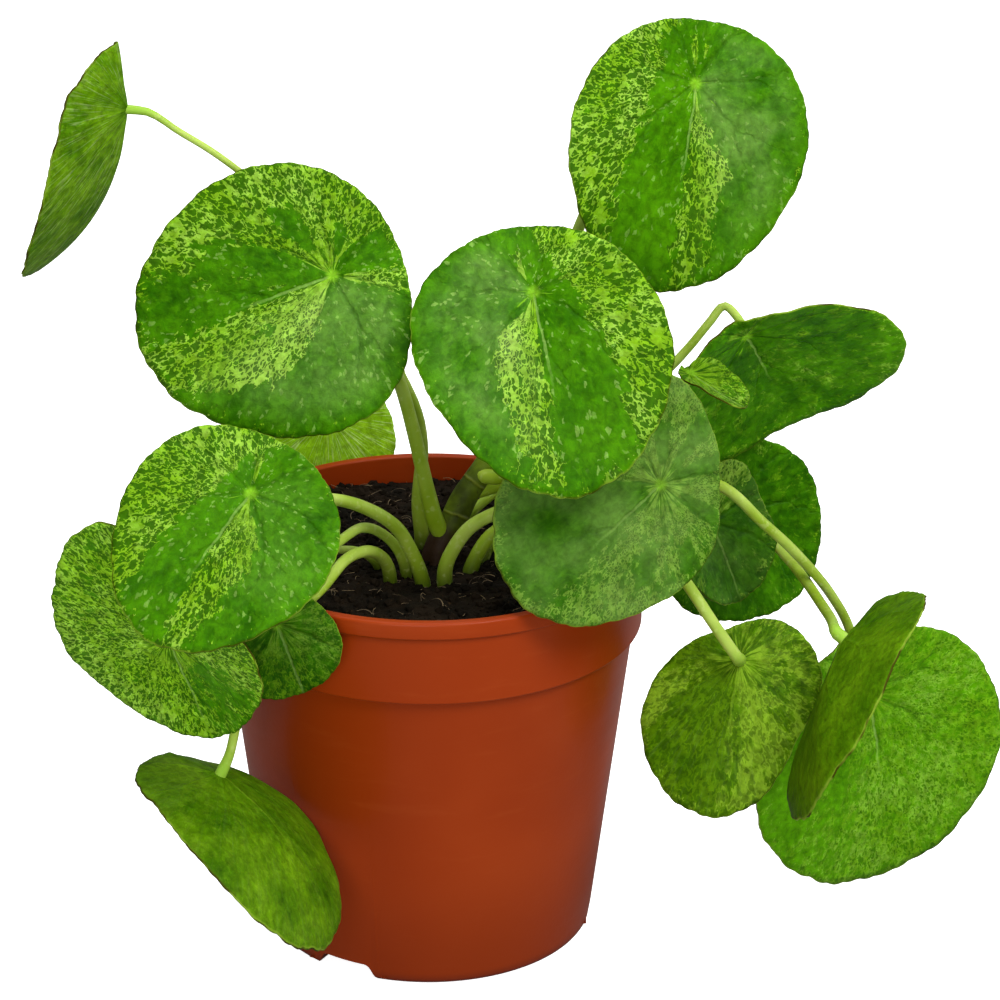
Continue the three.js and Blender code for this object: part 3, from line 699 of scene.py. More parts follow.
def build_veins(board, along, across, radius, patches):
    """Lines along the veins of the bent blade, and the pale midrib below the stalk."""
    swept = board.math("ARCTAN2", across, along) * (radius * VEIN_SWEEP + 1.0) + patches * 0.3
    from_vein = board.math("PINGPONG", swept, VEIN_SPACING / 2)
    beyond = board.math("MAXIMUM", radius - VEIN_FORK_START, 0.0)
    from_fork = board.math("ABSOLUTE", from_vein * radius - beyond * VEIN_FORK_SPREAD)
    from_middle = board.math("ABSOLUTE", patches * 1.6 + across)
    midrib = from_middle.step(*MIDRIB_WIDTH) * along.step(*MIDRIB_FADE) * along.step(*MIDRIB_START)
    return from_fork.step(*VEIN_WIDTH) * radius.step(*VEIN_FADE), midrib


def build_mottling():
    board, given = open_tree("leaf mottling", "ShaderNodeTree", {
        "Plane": "Vector", "Share": "Float", "Lime": "Float", "Fine": "Float", "Soft": "Float",
        "Bloom": "Float"})

    # A flat place on the leaf, and a finer one that is stretched toward the stalk
    along, across, seed = board.split(given["Plane"])
    flat = board.join(along, across)
    radius = board.vector("LENGTH", flat, output=1)
    direction = board.vector("NORMALIZE", flat)
    shift = board.join(x=seed * 3.7, z=seed)
    flat_place = flat + shift
    stretch = board.math("DIVIDE", board.math("MAXIMUM", radius, 3.0), STRETCH_RADIUS)
    stretch = board.math("POWER", stretch, STRETCH_POWER) * given["Fine"]
    fine_place = flat * stretch + shift

    # Clouds of light and dark, and two nets of cells that noise pulls out of shape
    cloud = board.noise(flat_place, CLOUDS_PER_MM, 3.0)
    patches = board.noise(flat_place, PATCHES_PER_MM, 3.0, 0.6) - 0.5
    shade = board.noise(flat_place, SHADES_PER_MM, 4.0, 0.62, 0.3)
    pull = board.noise(fine_place, PULLS_PER_MM, 2.0, 0.65, output="Color") - MIDDLE_GREY
    draws, border = build_cells(board, fine_place + pull * CELL_PULL, CELLS_PER_MM)
    small_draws, small_border = build_cells(board, fine_place + pull * SMALL_CELL_PULL, SMALL_CELLS_PER_MM)

    # The ragged edge between lime and dark: chunks, or streaks near the stalk, and marks at the margin
    streaks = board.noise(direction * STREAKS_ROUND + board.join(z=radius * 0.12 + seed), 1.0, 3.0, 0.6)
    chunk = board.noise(fine_place, CHUNKS_PER_MM, 3.0, 0.6, 0.4) + (draws[1] - 0.5) * 0.34
    marks = board.blend_values(radius.step(*STREAKS_FADE), chunk, streaks)
    margin = board.noise(direction * MARGIN_MARKS_ROUND + flat_place, 1.0, 1.0)
    margin = given["Share"].step(0.8, 1.0) * margin.step(0.52, 0.72)
    ragged = given["Lime"] + (marks - 0.5) * RAGGEDNESS + patches * 0.6 + margin * 0.5
    half_width = given["Soft"] * 0.25 + 0.02

    # Dark flecks in the lime: big and small islands, only small ones where the painted sheen lies, streaks at
    # the stalk
    blur = given["Soft"] * 0.2 + 0.04
    strand = board.noise(fine_place, STRANDS_PER_MM, 2.0, 0.6) * 0.4 - 0.1
    coarse = build_flecks(draws, border, strand, blur, patches, COARSE_SHARE)
    small = build_flecks(small_draws, small_border, strand, blur, patches, SMALL_SHARE)
    fleck = board.math("MAXIMUM", coarse, small * small_draws[1].step(0.7, 0.74))
    fleck = board.blend_values(given["Bloom"].step(0.1, 0.4), fleck, small)
    fleck = board.blend_values(radius.step(*FLECK_STREAKS_FADE), fleck, streaks.step(0.5, 0.44))

    # Paler lime, also all over the painted sheen, pale specks, brighter patches in the dark, and veins
    pale = (small_draws[2] * 0.2 + cloud).step(0.45, 0.85)
    speck = ((cloud - 0.5) * 0.3 + small_draws[1]).step(0.89, 0.94) * small_border.step(0.02, 0.2)
    patch = (draws[1] * 0.14 + board.noise(fine_place, BRIGHT_PATCHES_PER_MM, 3.0, 0.65)).step(0.5, 0.66)
    vein, midrib = build_veins(board, along, across, radius, patches)

    # The pale star round the stalk, and the fine lines that run out from it on the under face
    star_reach = (streaks - STAR_LEVEL) * STAR_REACH
    star = radius.step(star_reach + 0.6, star_reach - 2.5) * radius.step(*STAR_FADE)
    fan = board.noise(direction * FAN_LINES_ROUND + flat_place * 0.12, 1.0, 2.0, 0.6)
    return close_tree(board, "Float", {
        "Lime": ragged.step(0.5 - half_width, 0.5 + half_width),
        "Fleck": fleck,
        "Middle": draws[2].step(0.6, 0.9),
        "Pale": board.math("MAXIMUM", pale, given["Bloom"].step(0.0, 0.8)),
        "Speck": speck, "Patch": patch, "Vein": vein, "Midrib": midrib,
        "Star": board.math("MAXIMUM", star, radius.step(*STAR_HEART_FADE)),
        "Cloud": cloud, "Shade": shade,
        "Streak": fan.step(0.5, 0.72) * radius.step(*FAN_FADE)})


mottling = build_mottling()
print("mottling group nodes:", len(mottling.nodes))

# %% [markdown]
# The upper face is a deep saturated green. Its lime parts are covered with dark cells, its dark parts with
# a few pale specks. The under face is plainer: its pattern is blurred, because it shows through the flesh,
# and on some leaves it has fine pale streaks that run out from the stalk. The rim is a fine line of brown.
# A finish is built like paint, from a ground colour and coats over it, each with its share and its colour.

# %% Leaf materials
DARK_GREEN = screen_colour(52, 108, 0)
DEEP_GREEN = screen_colour(34, 86, 0)
BRIGHT_GREEN = screen_colour(78, 140, 4)
LIME_GREEN = screen_colour(118, 166, 22)
PALE_LIME = screen_colour(146, 190, 66)
MIDDLE_GREEN = screen_colour(92, 142, 8)
FLECK_DARK = screen_colour(42, 90, 0)
SPECK_PALE = screen_colour(142, 182, 84)
STAR_GREEN = screen_colour(140, 200, 40)
PAINTED_SHEEN_GREY = screen_colour(146, 160, 104)
VEIN_DARK = screen_colour(24, 66, 0)
RIM_BROWN = screen_colour(62, 62, 8)
RIM_PALE = screen_colour(120, 150, 40)
UNDER_DARK = screen_colour(48, 92, 0)
UNDER_BRIGHT = screen_colour(104, 146, 10)
UNDER_DEEP = screen_colour(36, 72, 0)
UNDER_LIME = screen_colour(138, 176, 40)
UNDER_PALE = screen_colour(170, 190, 120)
LEAF_GLOSS = 0.03
LEAF_FLESH = {"Specular IOR Level": LEAF_GLOSS, "Subsurface Weight": 0.1,
              "Subsurface Radius": (0.4, 1.0, 0.05), "Subsurface Scale": 2 * MM}


def read_marks(board):
    """The mottling, from the measures that each blade's mesh keeps."""
    measures = {"Plane": board.attribute("leaf_plane", "Vector")}
    for name in ("Share", "Lime", "Fine", "Soft", "Bloom"):
        measures[name] = board.attribute("leaf_" + name.lower())
    group = board.add("ShaderNodeGroup", measures, node_tree=mottling)
    return {socket.name: Value(board, socket) for socket in group.outputs}


def set_leaf_finish(board, marks, colour, rough, relief):
    """Painted uneven light, each leaf's shade level (partly its own tone, partly painted light and shade), a
    fine rim line from brown to pale, and juicy flesh.
    """
    # Painted light and shade: a noise makes the colour unevenly lit, and each leaf's shade level makes it
    # darker or brighter, partly its own tone and partly painted light
    shaded = colour * ((marks["Shade"] * 1.7 + 0.15) * board.attribute("leaf_shade"))
    rim_colour = board.blend(marks["Cloud"].step(0.44, 0.56), RIM_BROWN, RIM_PALE)
    at_rim = board.attribute("leaf_share").step(0.986, 0.999)
    finished = board.blend(at_rim * 0.7, shaded, rim_colour)
    set_finish(board, {"Base Color": finished, "Roughness": rough, **LEAF_FLESH}, relief)


def make_upper_face():
    material, board = new_material("leaf upper face")
    marks = read_marks(board)
    lit = board.attribute("leaf_tone") * 0.4 + marks["Cloud"]
    dark = board.blend(lit.step(0.2, 0.62), DEEP_GREEN, DARK_GREEN)
    lime = board.blend(marks["Pale"], LIME_GREEN, PALE_LIME)
    flecked = lime.coated((marks["Middle"] * 0.5, MIDDLE_GREEN), (marks["Fleck"] * 0.92, FLECK_DARK))
    speck = marks["Speck"] * board.attribute("leaf_specks")
    mottled = board.math("MINIMUM", marks["Lime"] * board.attribute("leaf_mottle"), 1.0)
    # Painted sheen: a greyish coat on the dark side that stands in for a broad dull sheen of light
    bloom = board.attribute("leaf_bloom") * marks["Cloud"].step(0.25, 0.7)
    colour = dark.coated(
        (lit.step(0.5, 1.0), BRIGHT_GREEN), (marks["Patch"] * 0.4, BRIGHT_GREEN), (speck * 0.5, SPECK_PALE),
        (mottled, flecked), (bloom * 0.24, PAINTED_SHEEN_GREY), (marks["Vein"] * 0.28, VEIN_DARK),
        (marks["Midrib"] * 0.5, SPECK_PALE), (marks["Star"] * 0.6, STAR_GREEN))
    rough = marks["Lime"] * 0.06 + marks["Cloud"] * 0.12 + 0.4
    relief = marks["Shade"] * 1.6 - marks["Vein"] + marks["Cloud"] * 2.0
    set_leaf_finish(board, marks, colour, rough, relief)
    return material


def make_under_face():
    material, board = new_material("leaf under face")
    marks = read_marks(board)
    mottle = board.attribute("leaf_mottle")
    streak = marks["Streak"] * board.attribute("leaf_streak")
    lit = board.attribute("leaf_tone") * 0.35 + marks["Cloud"]
    colour = board.blend(lit.step(0.2, 1.0), UNDER_DARK, UNDER_BRIGHT).coated(
        (marks["Lime"] * (mottle * 0.45), UNDER_LIME), (marks["Fleck"] * (mottle * 0.35), UNDER_DEEP),
        (marks["Midrib"] * 0.3, UNDER_LIME), (streak * 0.55, UNDER_PALE))
    relief = marks["Shade"] * 1.6 + marks["Vein"] * 0.5 + streak * 0.5
    set_leaf_finish(board, marks, colour, marks["Cloud"] * 0.15 + 0.45, relief)
    return material


def make_rim_finish():
    material, board = new_material("leaf rim")
    uneven = board.noise(board.place(), 140.0)
    colour = board.blend(uneven.step(0.42, 0.6), RIM_BROWN, RIM_PALE)
    set_finish(board, {"Base Color": colour, "Roughness": uneven * 0.2 + 0.4,
                       "Specular IOR Level": LEAF_GLOSS})
    return material


leaf_finishes = [make_upper_face(), make_under_face(), make_rim_finish()]
for blade in blades.values():
    for finish in leaf_finishes:
        blade.data.materials.append(finish)
print("leaf materials:", [finish.name for finish in leaf_finishes])

# %% [markdown]
# ## Stalks
# A stalk is a juicy round tube that follows a path, so Geometry Nodes make it: the path is read as a curve,
# its radius runs from the root to the tip and swells at the joint, and a ring is swept along it. The share
# of the way is kept as an attribute, so the finish can go from olive at the root to bright green at the
# leaf.

# %% Paths
PATH_POINTS = 60
PATH_SAMPLES = 24
SHORTEST_STEP = 1e-4
LAST_BEND = 7
CLEAR = 0.35


def smooth_path(points, count):
    """A centripetal curve through points, read at equal steps of its length."""
    points = np.asarray(points, float)
    padded = np.vstack([2 * points[0] - points[1], points, 2 * points[-1] - points[-2]])
    samples = []
    for i in range(1, len(padded) - 2):
        p0, p1, p2, p3 = padded[i - 1:i + 3]
        steps = np.linalg.norm(np.diff(padded[i - 1:i + 3], axis=0), axis=1)
        d0, d1, d2 = np.maximum(steps ** 0.5, SHORTEST_STEP)
        t1 = ((p1 - p0) / d0 - (p2 - p0) / (d0 + d1) + (p2 - p1) / d1) * d1
        t2 = ((p2 - p1) / d1 - (p3 - p1) / (d1 + d2) + (p3 - p2) / d2) * d1
        t = np.linspace(0, 1, PATH_SAMPLES, endpoint=False)[:, None]
        c2, c3 = -3 * p1 + 3 * p2 - 2 * t1 - t2, 2 * p1 - 2 * p2 + t1 + t2
        samples.append(p1 + t1 * t + c2 * t ** 2 + c3 * t ** 3)
    samples = np.vstack(samples + [points[-1:]])
    length = np.concatenate([[0], np.cumsum(np.linalg.norm(np.diff(samples, axis=0), axis=1))])
    wanted = np.linspace(0, length[-1], count)
    return np.stack([np.interp(wanted, length, samples[:, axis]) for axis in range(3)], 1)


def stalk_path(leaf):
    """The run of a stalk and its last bend, which ends square to the blade and just short of it."""
    place = np.array(leaf["place"], float)
    face = np.array(leaf_axes(leaf)[2])
    ends = [place - leaf.get("bend", LAST_BEND) * face, place - (BLADE_THICKNESS / 2 + CLEAR) * face]
    return smooth_path([*leaf["run"], *ends], PATH_POINTS)


def path_object(points):
    curve = bpy.data.curves.new("path", "CURVE")
    curve.dimensions = "3D"
    spline = curve.splines.new("POLY")
    spline.points.add(len(points) - 1)
    spline.points.foreach_set("co", np.column_stack([points * MM, np.ones(len(points))]).ravel())
    return add_object("path", curve)


steps = np.diff(stalk_path(LEAVES["middle"]), axis=0)
print("length of the middle leaf's stalk in mm:", round(float(np.linalg.norm(steps, axis=1).sum())))

# %% Geometry Nodes: a stalk along a path
STALK_SIDES = 16


def close_coated(board, given, shape):
    """Ends a Geometry Nodes tree: real geometry that wears the given material."""
    real = board.value("GeometryNodeRealizeInstances", {"Geometry": shape})
    coated = board.value("GeometryNodeSetMaterial", {"Geometry": real, "Material": given["Material"]})
    return close_tree(board, "Geometry", {"Geometry": coated})


def build_stalk_tree():
    board, given = open_tree("stalk along a path", "GeometryNodeTree", {
        "Geometry": "Geometry", "Root radius": "Float", "Tip radius": "Float", "Joint swell": "Float",
        "Flutes": "Float", "Seed": "Float", "Material": "Material"})
    share = board.value("GeometryNodeSplineParameter", output="Factor")
    taper = board.math("MINIMUM", share * 1.4, 1.0)
    radius = board.blend_values(taper, given["Root radius"], given["Tip radius"])
    swell = share.step(0.93, 1.0) * given["Joint swell"]
    foot = share.step(0.22, 0.0) * given["Joint swell"]
    named = {"Geometry": given["Geometry"], "Name": "stalk_share", "Value": share}
    kept = board.value("GeometryNodeStoreNamedAttribute", named, data_type="FLOAT", domain="POINT")
    sized = board.value("GeometryNodeSetCurveRadius", {"Curve": kept, "Radius": radius + swell + foot})
    ring = board.value("GeometryNodeCurvePrimitiveCircle", {"Resolution": STALK_SIDES, "Radius": 1.0})
    swept = board.value("GeometryNodeCurveToMesh", {
        "Curve": sized, "Profile Curve": ring, "Scale": board.value("GeometryNodeInputRadius"),
        "Fill Caps": True})
    uneven = board.noise(board.value("GeometryNodeInputPosition") + given["Seed"], 160.0) - 0.5
    push = board.value("GeometryNodeInputNormal") * (uneven * given["Flutes"])
    shaped = board.value("GeometryNodeSetPosition", {"Geometry": swept, "Offset": push})
    smooth = board.value("GeometryNodeSetShadeSmooth", {"Geometry": shaped, "Shade Smooth": True})
    return close_coated(board, given, smooth)


def grow(name, source, tree, values):
    """Runs a Geometry Nodes tree on an object and keeps the result as a plain mesh."""
    modifier = source.modifiers.new("nodes", "NODES")
    modifier.node_group = tree
    for item in tree.interface.items_tree:
        if item.item_type == "SOCKET" and item.in_out == "INPUT" and item.name in values:
            modifier[item.identifier] = values[item.name]
    bpy.context.view_layer.update()
    evaluated = source.evaluated_get(bpy.context.evaluated_depsgraph_get())
    mesh = bpy.data.meshes.new_from_object(evaluated)
    mesh.name = name
    source.modifiers.remove(modifier)
    bpy.data.objects.remove(source)
    return add_object(name, mesh)


stalk_tree = build_stalk_tree()
print("stalk tree nodes:", len(stalk_tree.nodes))

# %% [markdown]
# Stalks are yellow green with fine streaks along them. The main stem is older: dull olive brown with rings
# where leaves once sat. Both are waxy, so the light runs along them in a soft line.

# %% Stalk and stem materials
SHADE_TOP = 119 * MM
SHADE_FOOT = 109 * MM
LEAF_SCAR_SPACING = 0.075


def make_stalk_finish():
    """Olive at the root, pale at the joint, and dark where a stalk stands in the pot's shade."""
    material, board = new_material("stalk skin")
    place, share = board.place(), board.attribute("stalk_share")
    cloudy = board.noise(place, 60.0, 3.0).step(0.35, 0.65)
    fine = board.noise(place, 520.0)
    root = board.blend(cloudy, screen_colour(124, 152, 20), screen_colour(150, 174, 50))
    young = board.blend(cloudy, screen_colour(134, 162, 36), screen_colour(166, 190, 82))
    in_the_pot = board.split(place)[2].step(SHADE_TOP, SHADE_FOOT) * share.step(0.3, 0.2)
    colour = root.coated(
        (share.step(0.05, 0.5), young), (in_the_pot, screen_colour(70, 88, 8)),
        (share.step(0.9, 1.0), screen_colour(144, 186, 56)),
        (fine.step(0.56, 0.7) * 0.25, screen_colour(196, 208, 132)))
    set_finish(board, {"Base Color": colour, "Roughness": fine * 0.2 + 0.36, "Specular IOR Level": 0.2,
                       "Subsurface Weight": 0.2, "Subsurface Radius": (0.6, 1.0, 0.2),
                       "Subsurface Scale": 3 * MM}, fine, strength=0.3, depth=0.2 * MM)
    return material


def make_stem_finish():
    """Brown at the soil, olive with paler rings where leaves once sat, green at the top."""
    material, board = new_material("stem bark")
    place = board.place()
    cloud = board.noise(place, 90.0, 4.0, 0.6)
    fine = board.noise(place, 420.0, 3.0, 0.6)
    wobble = cloud * 0.05 + board.attribute("stalk_share")
    olive = board.blend(cloud.step(0.35, 0.65), screen_colour(46, 56, 0), screen_colour(84, 102, 8))
    from_scar = board.math("PINGPONG", wobble + 0.02, LEAF_SCAR_SPACING)
    scar = from_scar.step(0.011, 0.0) * wobble.step(0.3, 0.4)
    colour = board.blend(wobble.step(0.3, 0.42), screen_colour(44, 26, 8), olive).coated(
        (wobble.step(0.55, 0.8), screen_colour(104, 128, 20)), (scar * 0.4, screen_colour(128, 136, 44)),
        (fine.step(0.62, 0.74), screen_colour(48, 42, 10)))
    set_finish(board, {"Base Color": colour, "Roughness": fine * 0.3 + 0.45, "Specular IOR Level": 0.15},
               scar * 1.5 + fine, depth=0.5 * MM)
    return material


stalk_skin, stem_bark = make_stalk_finish(), make_stem_finish()
print("stalk materials:", stalk_skin.name, "/", stem_bark.name)

# %% Stalks and stem
STEM_RUN = ((1.5, -4, 96), (1.5, -4, 106), (3, -3, 113.5), (6.4, -1, 119.5), (9.3, 1, 125.5), (14.6, 4, 133),
            (23, 8, 145), (30, 10, 153))
STEM_RADII = (4.7, 3.1)
STEM_SEED = 3.0
STEM_FLUTES = 0.5
STALK_FLUTES = 0.12
STALK_SWELL = 0.35


def grow_stalk(name, points, radii, swell, flutes, seed, material):
    values = {"Root radius": radii[0] * MM, "Tip radius": radii[1] * MM, "Joint swell": swell * MM,
              "Flutes": flutes * MM, "Seed": seed, "Material": material}
    return grow(name, path_object(points), stalk_tree, values)


stalks = {name: grow_stalk("petiole_" + name, stalk_path(leaf), leaf["radii"], STALK_SWELL, STALK_FLUTES,
                           float(leaf["place"][0]), stalk_skin) for name, leaf in LEAVES.items()}
stem = grow_stalk("leafy_stem", smooth_path(STEM_RUN, PATH_POINTS), STEM_RADII, 0.0, STEM_FLUTES, STEM_SEED,
                  stem_bark)
print("stalks:", len(stalks), "- points in one:", len(stalks["middle"].data.vertices))

# %% [markdown]
# ## The pot
# The pot is moulded plastic: a tapering wall, a deep collar, a rounded lip with a groove under it, and
# three notches in its foot. Its wall is a profile turned round the axis, with every edge rounded a little,
# as a mould leaves it. Geometry Nodes then place the notch cutter three times round the foot and cut it
# away.

# %% Pot profile
POT_HEIGHT = 115.7
RIM_RADIUS = 60
COLLAR_HEIGHT = 24
COLLAR_RADIUS = 59
COLLAR_TAPER = 0.1
WALL_TOP_RADIUS = 56.8
FOOT_RADIUS = 45.4
WALL = 1.8
FLOOR = 2.4
LIP_STEP = 1.2
LIP_HEIGHT = 4.6
LIP_CHAMFER = 0.6
FOOT_DRAFT = 0.3
POT_SPOKES = 192


def corner(before, point, after, radius, steps=5):
    """Points of a rounded corner of a profile."""
    before, point, after = (np.array(p, float) for p in (before, point, after))
    to_before = (before - point) / np.linalg.norm(before - point)
    to_after = (after - point) / np.linalg.norm(after - point)
    start, end = point + to_before * radius, point + to_after * radius
    shares = np.linspace(0, 1, steps)
    return [tuple((1 - t) ** 2 * start + 2 * t * (1 - t) * point + t * t * end) for t in shares]


def pot_profile():
    """From the underside's middle up the wall, over the lip and down to the floor: points with roundings."""
    step = POT_HEIGHT - COLLAR_HEIGHT
    lip = POT_HEIGHT - LIP_HEIGHT
    sharp = [
        ((0, 0), 0), ((FOOT_RADIUS, 0), 1.8), ((WALL_TOP_RADIUS, step), 0.5),
        ((COLLAR_RADIUS - COLLAR_TAPER, step), 0.7), ((RIM_RADIUS - LIP_STEP, lip - LIP_CHAMFER), 0.35),
        ((RIM_RADIUS, lip), 0.4), ((RIM_RADIUS, POT_HEIGHT), 0.9),
        ((RIM_RADIUS - LIP_STEP - WALL, POT_HEIGHT), 0.7), ((COLLAR_RADIUS - WALL, step + WALL), 1),
        ((WALL_TOP_RADIUS - WALL, step), 1),
        ((FOOT_RADIUS - WALL + FOOT_DRAFT, FLOOR), 1.5), ((0, FLOOR), 0)]
    profile = [sharp[0][0]]
    for (before, _), (point, radius), (after, _) in zip(sharp, sharp[1:], sharp[2:]):
        profile += corner(before, point, after, radius)
    return [*profile, sharp[-1][0]]


def turned_mesh(name, profile, spokes):
    """A profile turned round the vertical axis, from the pole below to the pole above."""
    angles = np.linspace(0, 2 * math.pi, spokes, endpoint=False)
    points = [(0, 0, profile[0][1])]
    for radius, height in profile[1:-1]:
        points += [(radius * math.cos(a), radius * math.sin(a), height) for a in angles]
    points.append((0, 0, profile[-1][1]))
    return add_mesh(name, points, shell_faces(len(profile) - 2, spokes, from_below=True))


profile = pot_profile()
pot_blank = turned_mesh("pot_blank", profile, POT_SPOKES)
print("pot profile points:", len(profile))

# %% Geometry Nodes: notches round the foot
NOTCH_COUNT = 3
NOTCH_FIRST_ANGLE = -121
NOTCH_FOOT_WIDTH = 21
NOTCH_ROOF_WIDTH = 12
NOTCH_HEIGHT = 4.5
NOTCH_DEPTH = 15
NOTCH_FLARE = 2.4
NOTCH_WALL = 2
NOTCH_OVERCUT = 5
NOTCH_CURVE_POINTS = 9
LEAST_HEIGHT = 0.1
DRAIN_RADIUS = 3.5
DRAIN_INSET = 2
DRAIN_SIDES = 32
DRAIN_DEPTH = 30


def make_notch_bar(name, start, end, base, margin):
    """A bar along X with the notch's outline: flat roof, flanks that flare out to the ground."""
    foot, roof, height = NOTCH_FOOT_WIDTH / 2 + margin, NOTCH_ROOF_WIDTH / 2 + margin, NOTCH_HEIGHT + margin
    bends = [(foot, 0), (foot - NOTCH_FLARE, 0), (roof + NOTCH_FLARE, height), (roof, height)]
    t = np.linspace(0, 1, NOTCH_CURVE_POINTS)
    weights = ((1 - t) ** 3, 3 * t * (1 - t) ** 2, 3 * t ** 2 * (1 - t), t ** 3)
    curve = sum(weight[:, None] * np.array(bend) for weight, bend in zip(weights, bends))
    curve = [(x, max(z, base + LEAST_HEIGHT)) for x, z in curve]
    outline = [(-foot, base), (foot, base)] + curve + [(-x, z) for x, z in curve[::-1]]
    count = len(outline)
    faces = [tuple(range(count))[::-1], tuple(range(count, 2 * count))]
    faces += [(i, (i + 1) % count, count + (i + 1) % count, count + i) for i in range(count)]
    return add_mesh(name, [(x, y, z) for x in (start, end) for y, z in outline], faces)


def build_notch_tree():
    board, given = open_tree("notches round a foot", "GeometryNodeTree", {
        "Geometry": "Geometry", "Roof": "Object", "Cutter": "Object", "Count": "Int", "First angle": "Float",
        "Drain radius": "Float", "Drain place": "Float", "Material": "Material"})
    spots = board.value("GeometryNodeMeshLine", {"Count": given["Count"], "Offset": (0, 0, 0)})
    step = board.math("DIVIDE", 2 * math.pi, given["Count"])
    turn = board.join(z=board.value("GeometryNodeInputIndex") * step + given["First angle"])

    def round_the_foot(shape):
        placed = {"Points": spots, "Instance": shape, "Rotation": turn}
        copies = board.value("GeometryNodeInstanceOnPoints", placed)
        return board.value("GeometryNodeRealizeInstances", {"Geometry": copies})

    def shape_of(name):
        return board.value("GeometryNodeObjectInfo", {"Object": given[name]}, "Geometry")

    def cut(body, shape):
        parts = {"Mesh 1": body, "Mesh 2": round_the_foot(shape)}
        return board.value("GeometryNodeMeshBoolean", parts, operation="DIFFERENCE", solver="EXACT")

    pipe = board.value("GeometryNodeMeshCylinder", {
        "Vertices": DRAIN_SIDES, "Radius": given["Drain radius"], "Depth": DRAIN_DEPTH * MM})
    drain = board.value("GeometryNodeTransform", {
        "Geometry": pipe, "Translation": board.join(given["Drain place"])})
    union = board.add("GeometryNodeMeshBoolean", operation="UNION", solver="EXACT")
    for shape in (given["Geometry"], round_the_foot(shape_of("Roof"))):
        board.give(union.inputs["Mesh 2"], shape)
    roofed = Value(board, union.outputs[0])
    return close_coated(board, given, cut(cut(roofed, shape_of("Cutter")), drain))


notch_start = FOOT_RADIUS - NOTCH_DEPTH
roof = make_notch_bar("roof", notch_start - NOTCH_WALL, FOOT_RADIUS - WALL / 2, FLOOR / 2, NOTCH_WALL)
cutter = make_notch_bar("cutter", notch_start, FOOT_RADIUS + NOTCH_OVERCUT, -NOTCH_OVERCUT, 0)
notch_tree = build_notch_tree()
print("notch tree nodes:", len(notch_tree.nodes))

# %% [markdown]
# Moulded plastic is even in colour and only a little glossy. Handling rubs it paler in flat patches. Its
# colour is darker toward the ground as painted shade, and darkest in the bottom 4 mm.

# %% The pot and its finish
SMOOTH_BELOW = math.radians(32)


def make_pot_finish():
    material, board = new_material("terracotta plastic")
    place = board.place()
    height = board.split(place)[2]
    cloud = board.noise(place, 14.0, 3.0)
    fine = board.noise(place, 900.0)
    rubbed = board.noise(board.vector("MULTIPLY", place, (1.0, 1.0, 6.0)), 45.0, 3.0, 0.6)
    colour = board.blend(cloud.step(0.35, 0.68), screen_colour(144, 49, 7), screen_colour(154, 57, 14))
    colour = colour.coated(
        (rubbed.step(0.55, 0.75) * 0.18, screen_colour(164, 70, 26)),
        # Painted shade: darker toward the ground, then darkest in the bottom 4 mm
        (height.step(45 * MM, 5 * MM) * 0.6, screen_colour(122, 40, 6)),
        (height.step(4 * MM, 0.0), screen_colour(104, 36, 16)))
    set_finish(board, {"Base Color": colour, "Roughness": cloud * 0.12 + rubbed * 0.1 + 0.3,
                       "Specular IOR Level": 0.08, "Coat Weight": 0.06, "Coat Roughness": 0.18},
               fine, strength=0.15, depth=0.2 * MM)
    return material


pot = grow("moulded_pot", pot_blank, notch_tree, {
    "Roof": roof, "Cutter": cutter, "Count": NOTCH_COUNT, "First angle": math.radians(NOTCH_FIRST_ANGLE),
    "Drain radius": DRAIN_RADIUS * MM, "Drain place": (notch_start + DRAIN_RADIUS + DRAIN_INSET) * MM,
    "Material": make_pot_finish()})
for helper in (roof, cutter):
    bpy.data.objects.remove(helper)
pot.data.shade_smooth()
pot.data.set_sharp_from_angle(angle=SMOOTH_BELOW)
print("pot faces:", len(pot.data.polygons))

# %% [markdown]
# ## The soil
# Potting soil is dark peat: a lumpy surface with crumbs of all sizes, and pale bits of root and fibre. The
# lumpy skin is a fine height field. Crumbs and fibres repeat in their hundreds, so Geometry Nodes scatter
# them, with a fixed seed so that they lie the same way every time.

# %% Soil skin
SOIL_TOP = 109
SOIL_FOOT = 98
SOIL_EDGE_DROP = 1.2
SOIL_LUMP = 1.1
SOIL_SKIN_RADIUS = 56.9
SOIL_SKIN_LIFT = 0.5
SOIL_MIDDLE_LIFT = 0.4
SOIL_RINGS = 40
SOIL_SPOKES = 160
ROUGHNESS = 0.6
ROUGH_SPREAD = 0.28
rng = np.random.default_rng(12)


def soil_height(radius, angle):
    share = radius / RIM_RADIUS
    lumps = np.sin(3 * angle + radius / 5) * np.cos(5 * angle - radius / 7)
    return float(SOIL_TOP - SOIL_EDGE_DROP * share ** 2 + SOIL_LUMP * lumps * share)


def make_soil_skin():
    """A rough lid with a side that goes down into the measured soil, closed below."""
    angles = [2 * math.pi * k / SOIL_SPOKES for k in range(SOIL_SPOKES)]
    points = [(0, 0, SOIL_TOP + SOIL_MIDDLE_LIFT)]
    for i in range(1, SOIL_RINGS + 1):
        radius = SOIL_SKIN_RADIUS * i / SOIL_RINGS
        for angle in angles:
            rough = rng.normal(0, ROUGH_SPREAD)
            rough += 0.5 * math.sin(radius * 0.9 + 2 * math.sin(5 * angle)) * math.cos(9 * angle)
            height = soil_height(radius, angle) + SOIL_SKIN_LIFT + ROUGHNESS * rough
            points.append((radius * math.cos(angle), radius * math.sin(angle), height))
    points += [(SOIL_SKIN_RADIUS * math.cos(angle), SOIL_SKIN_RADIUS * math.sin(angle), SOIL_FOOT)
               for angle in angles]
    points.append((0, 0, SOIL_FOOT))
    return add_mesh("soil_surface", points, shell_faces(SOIL_RINGS + 1, SOIL_SPOKES))


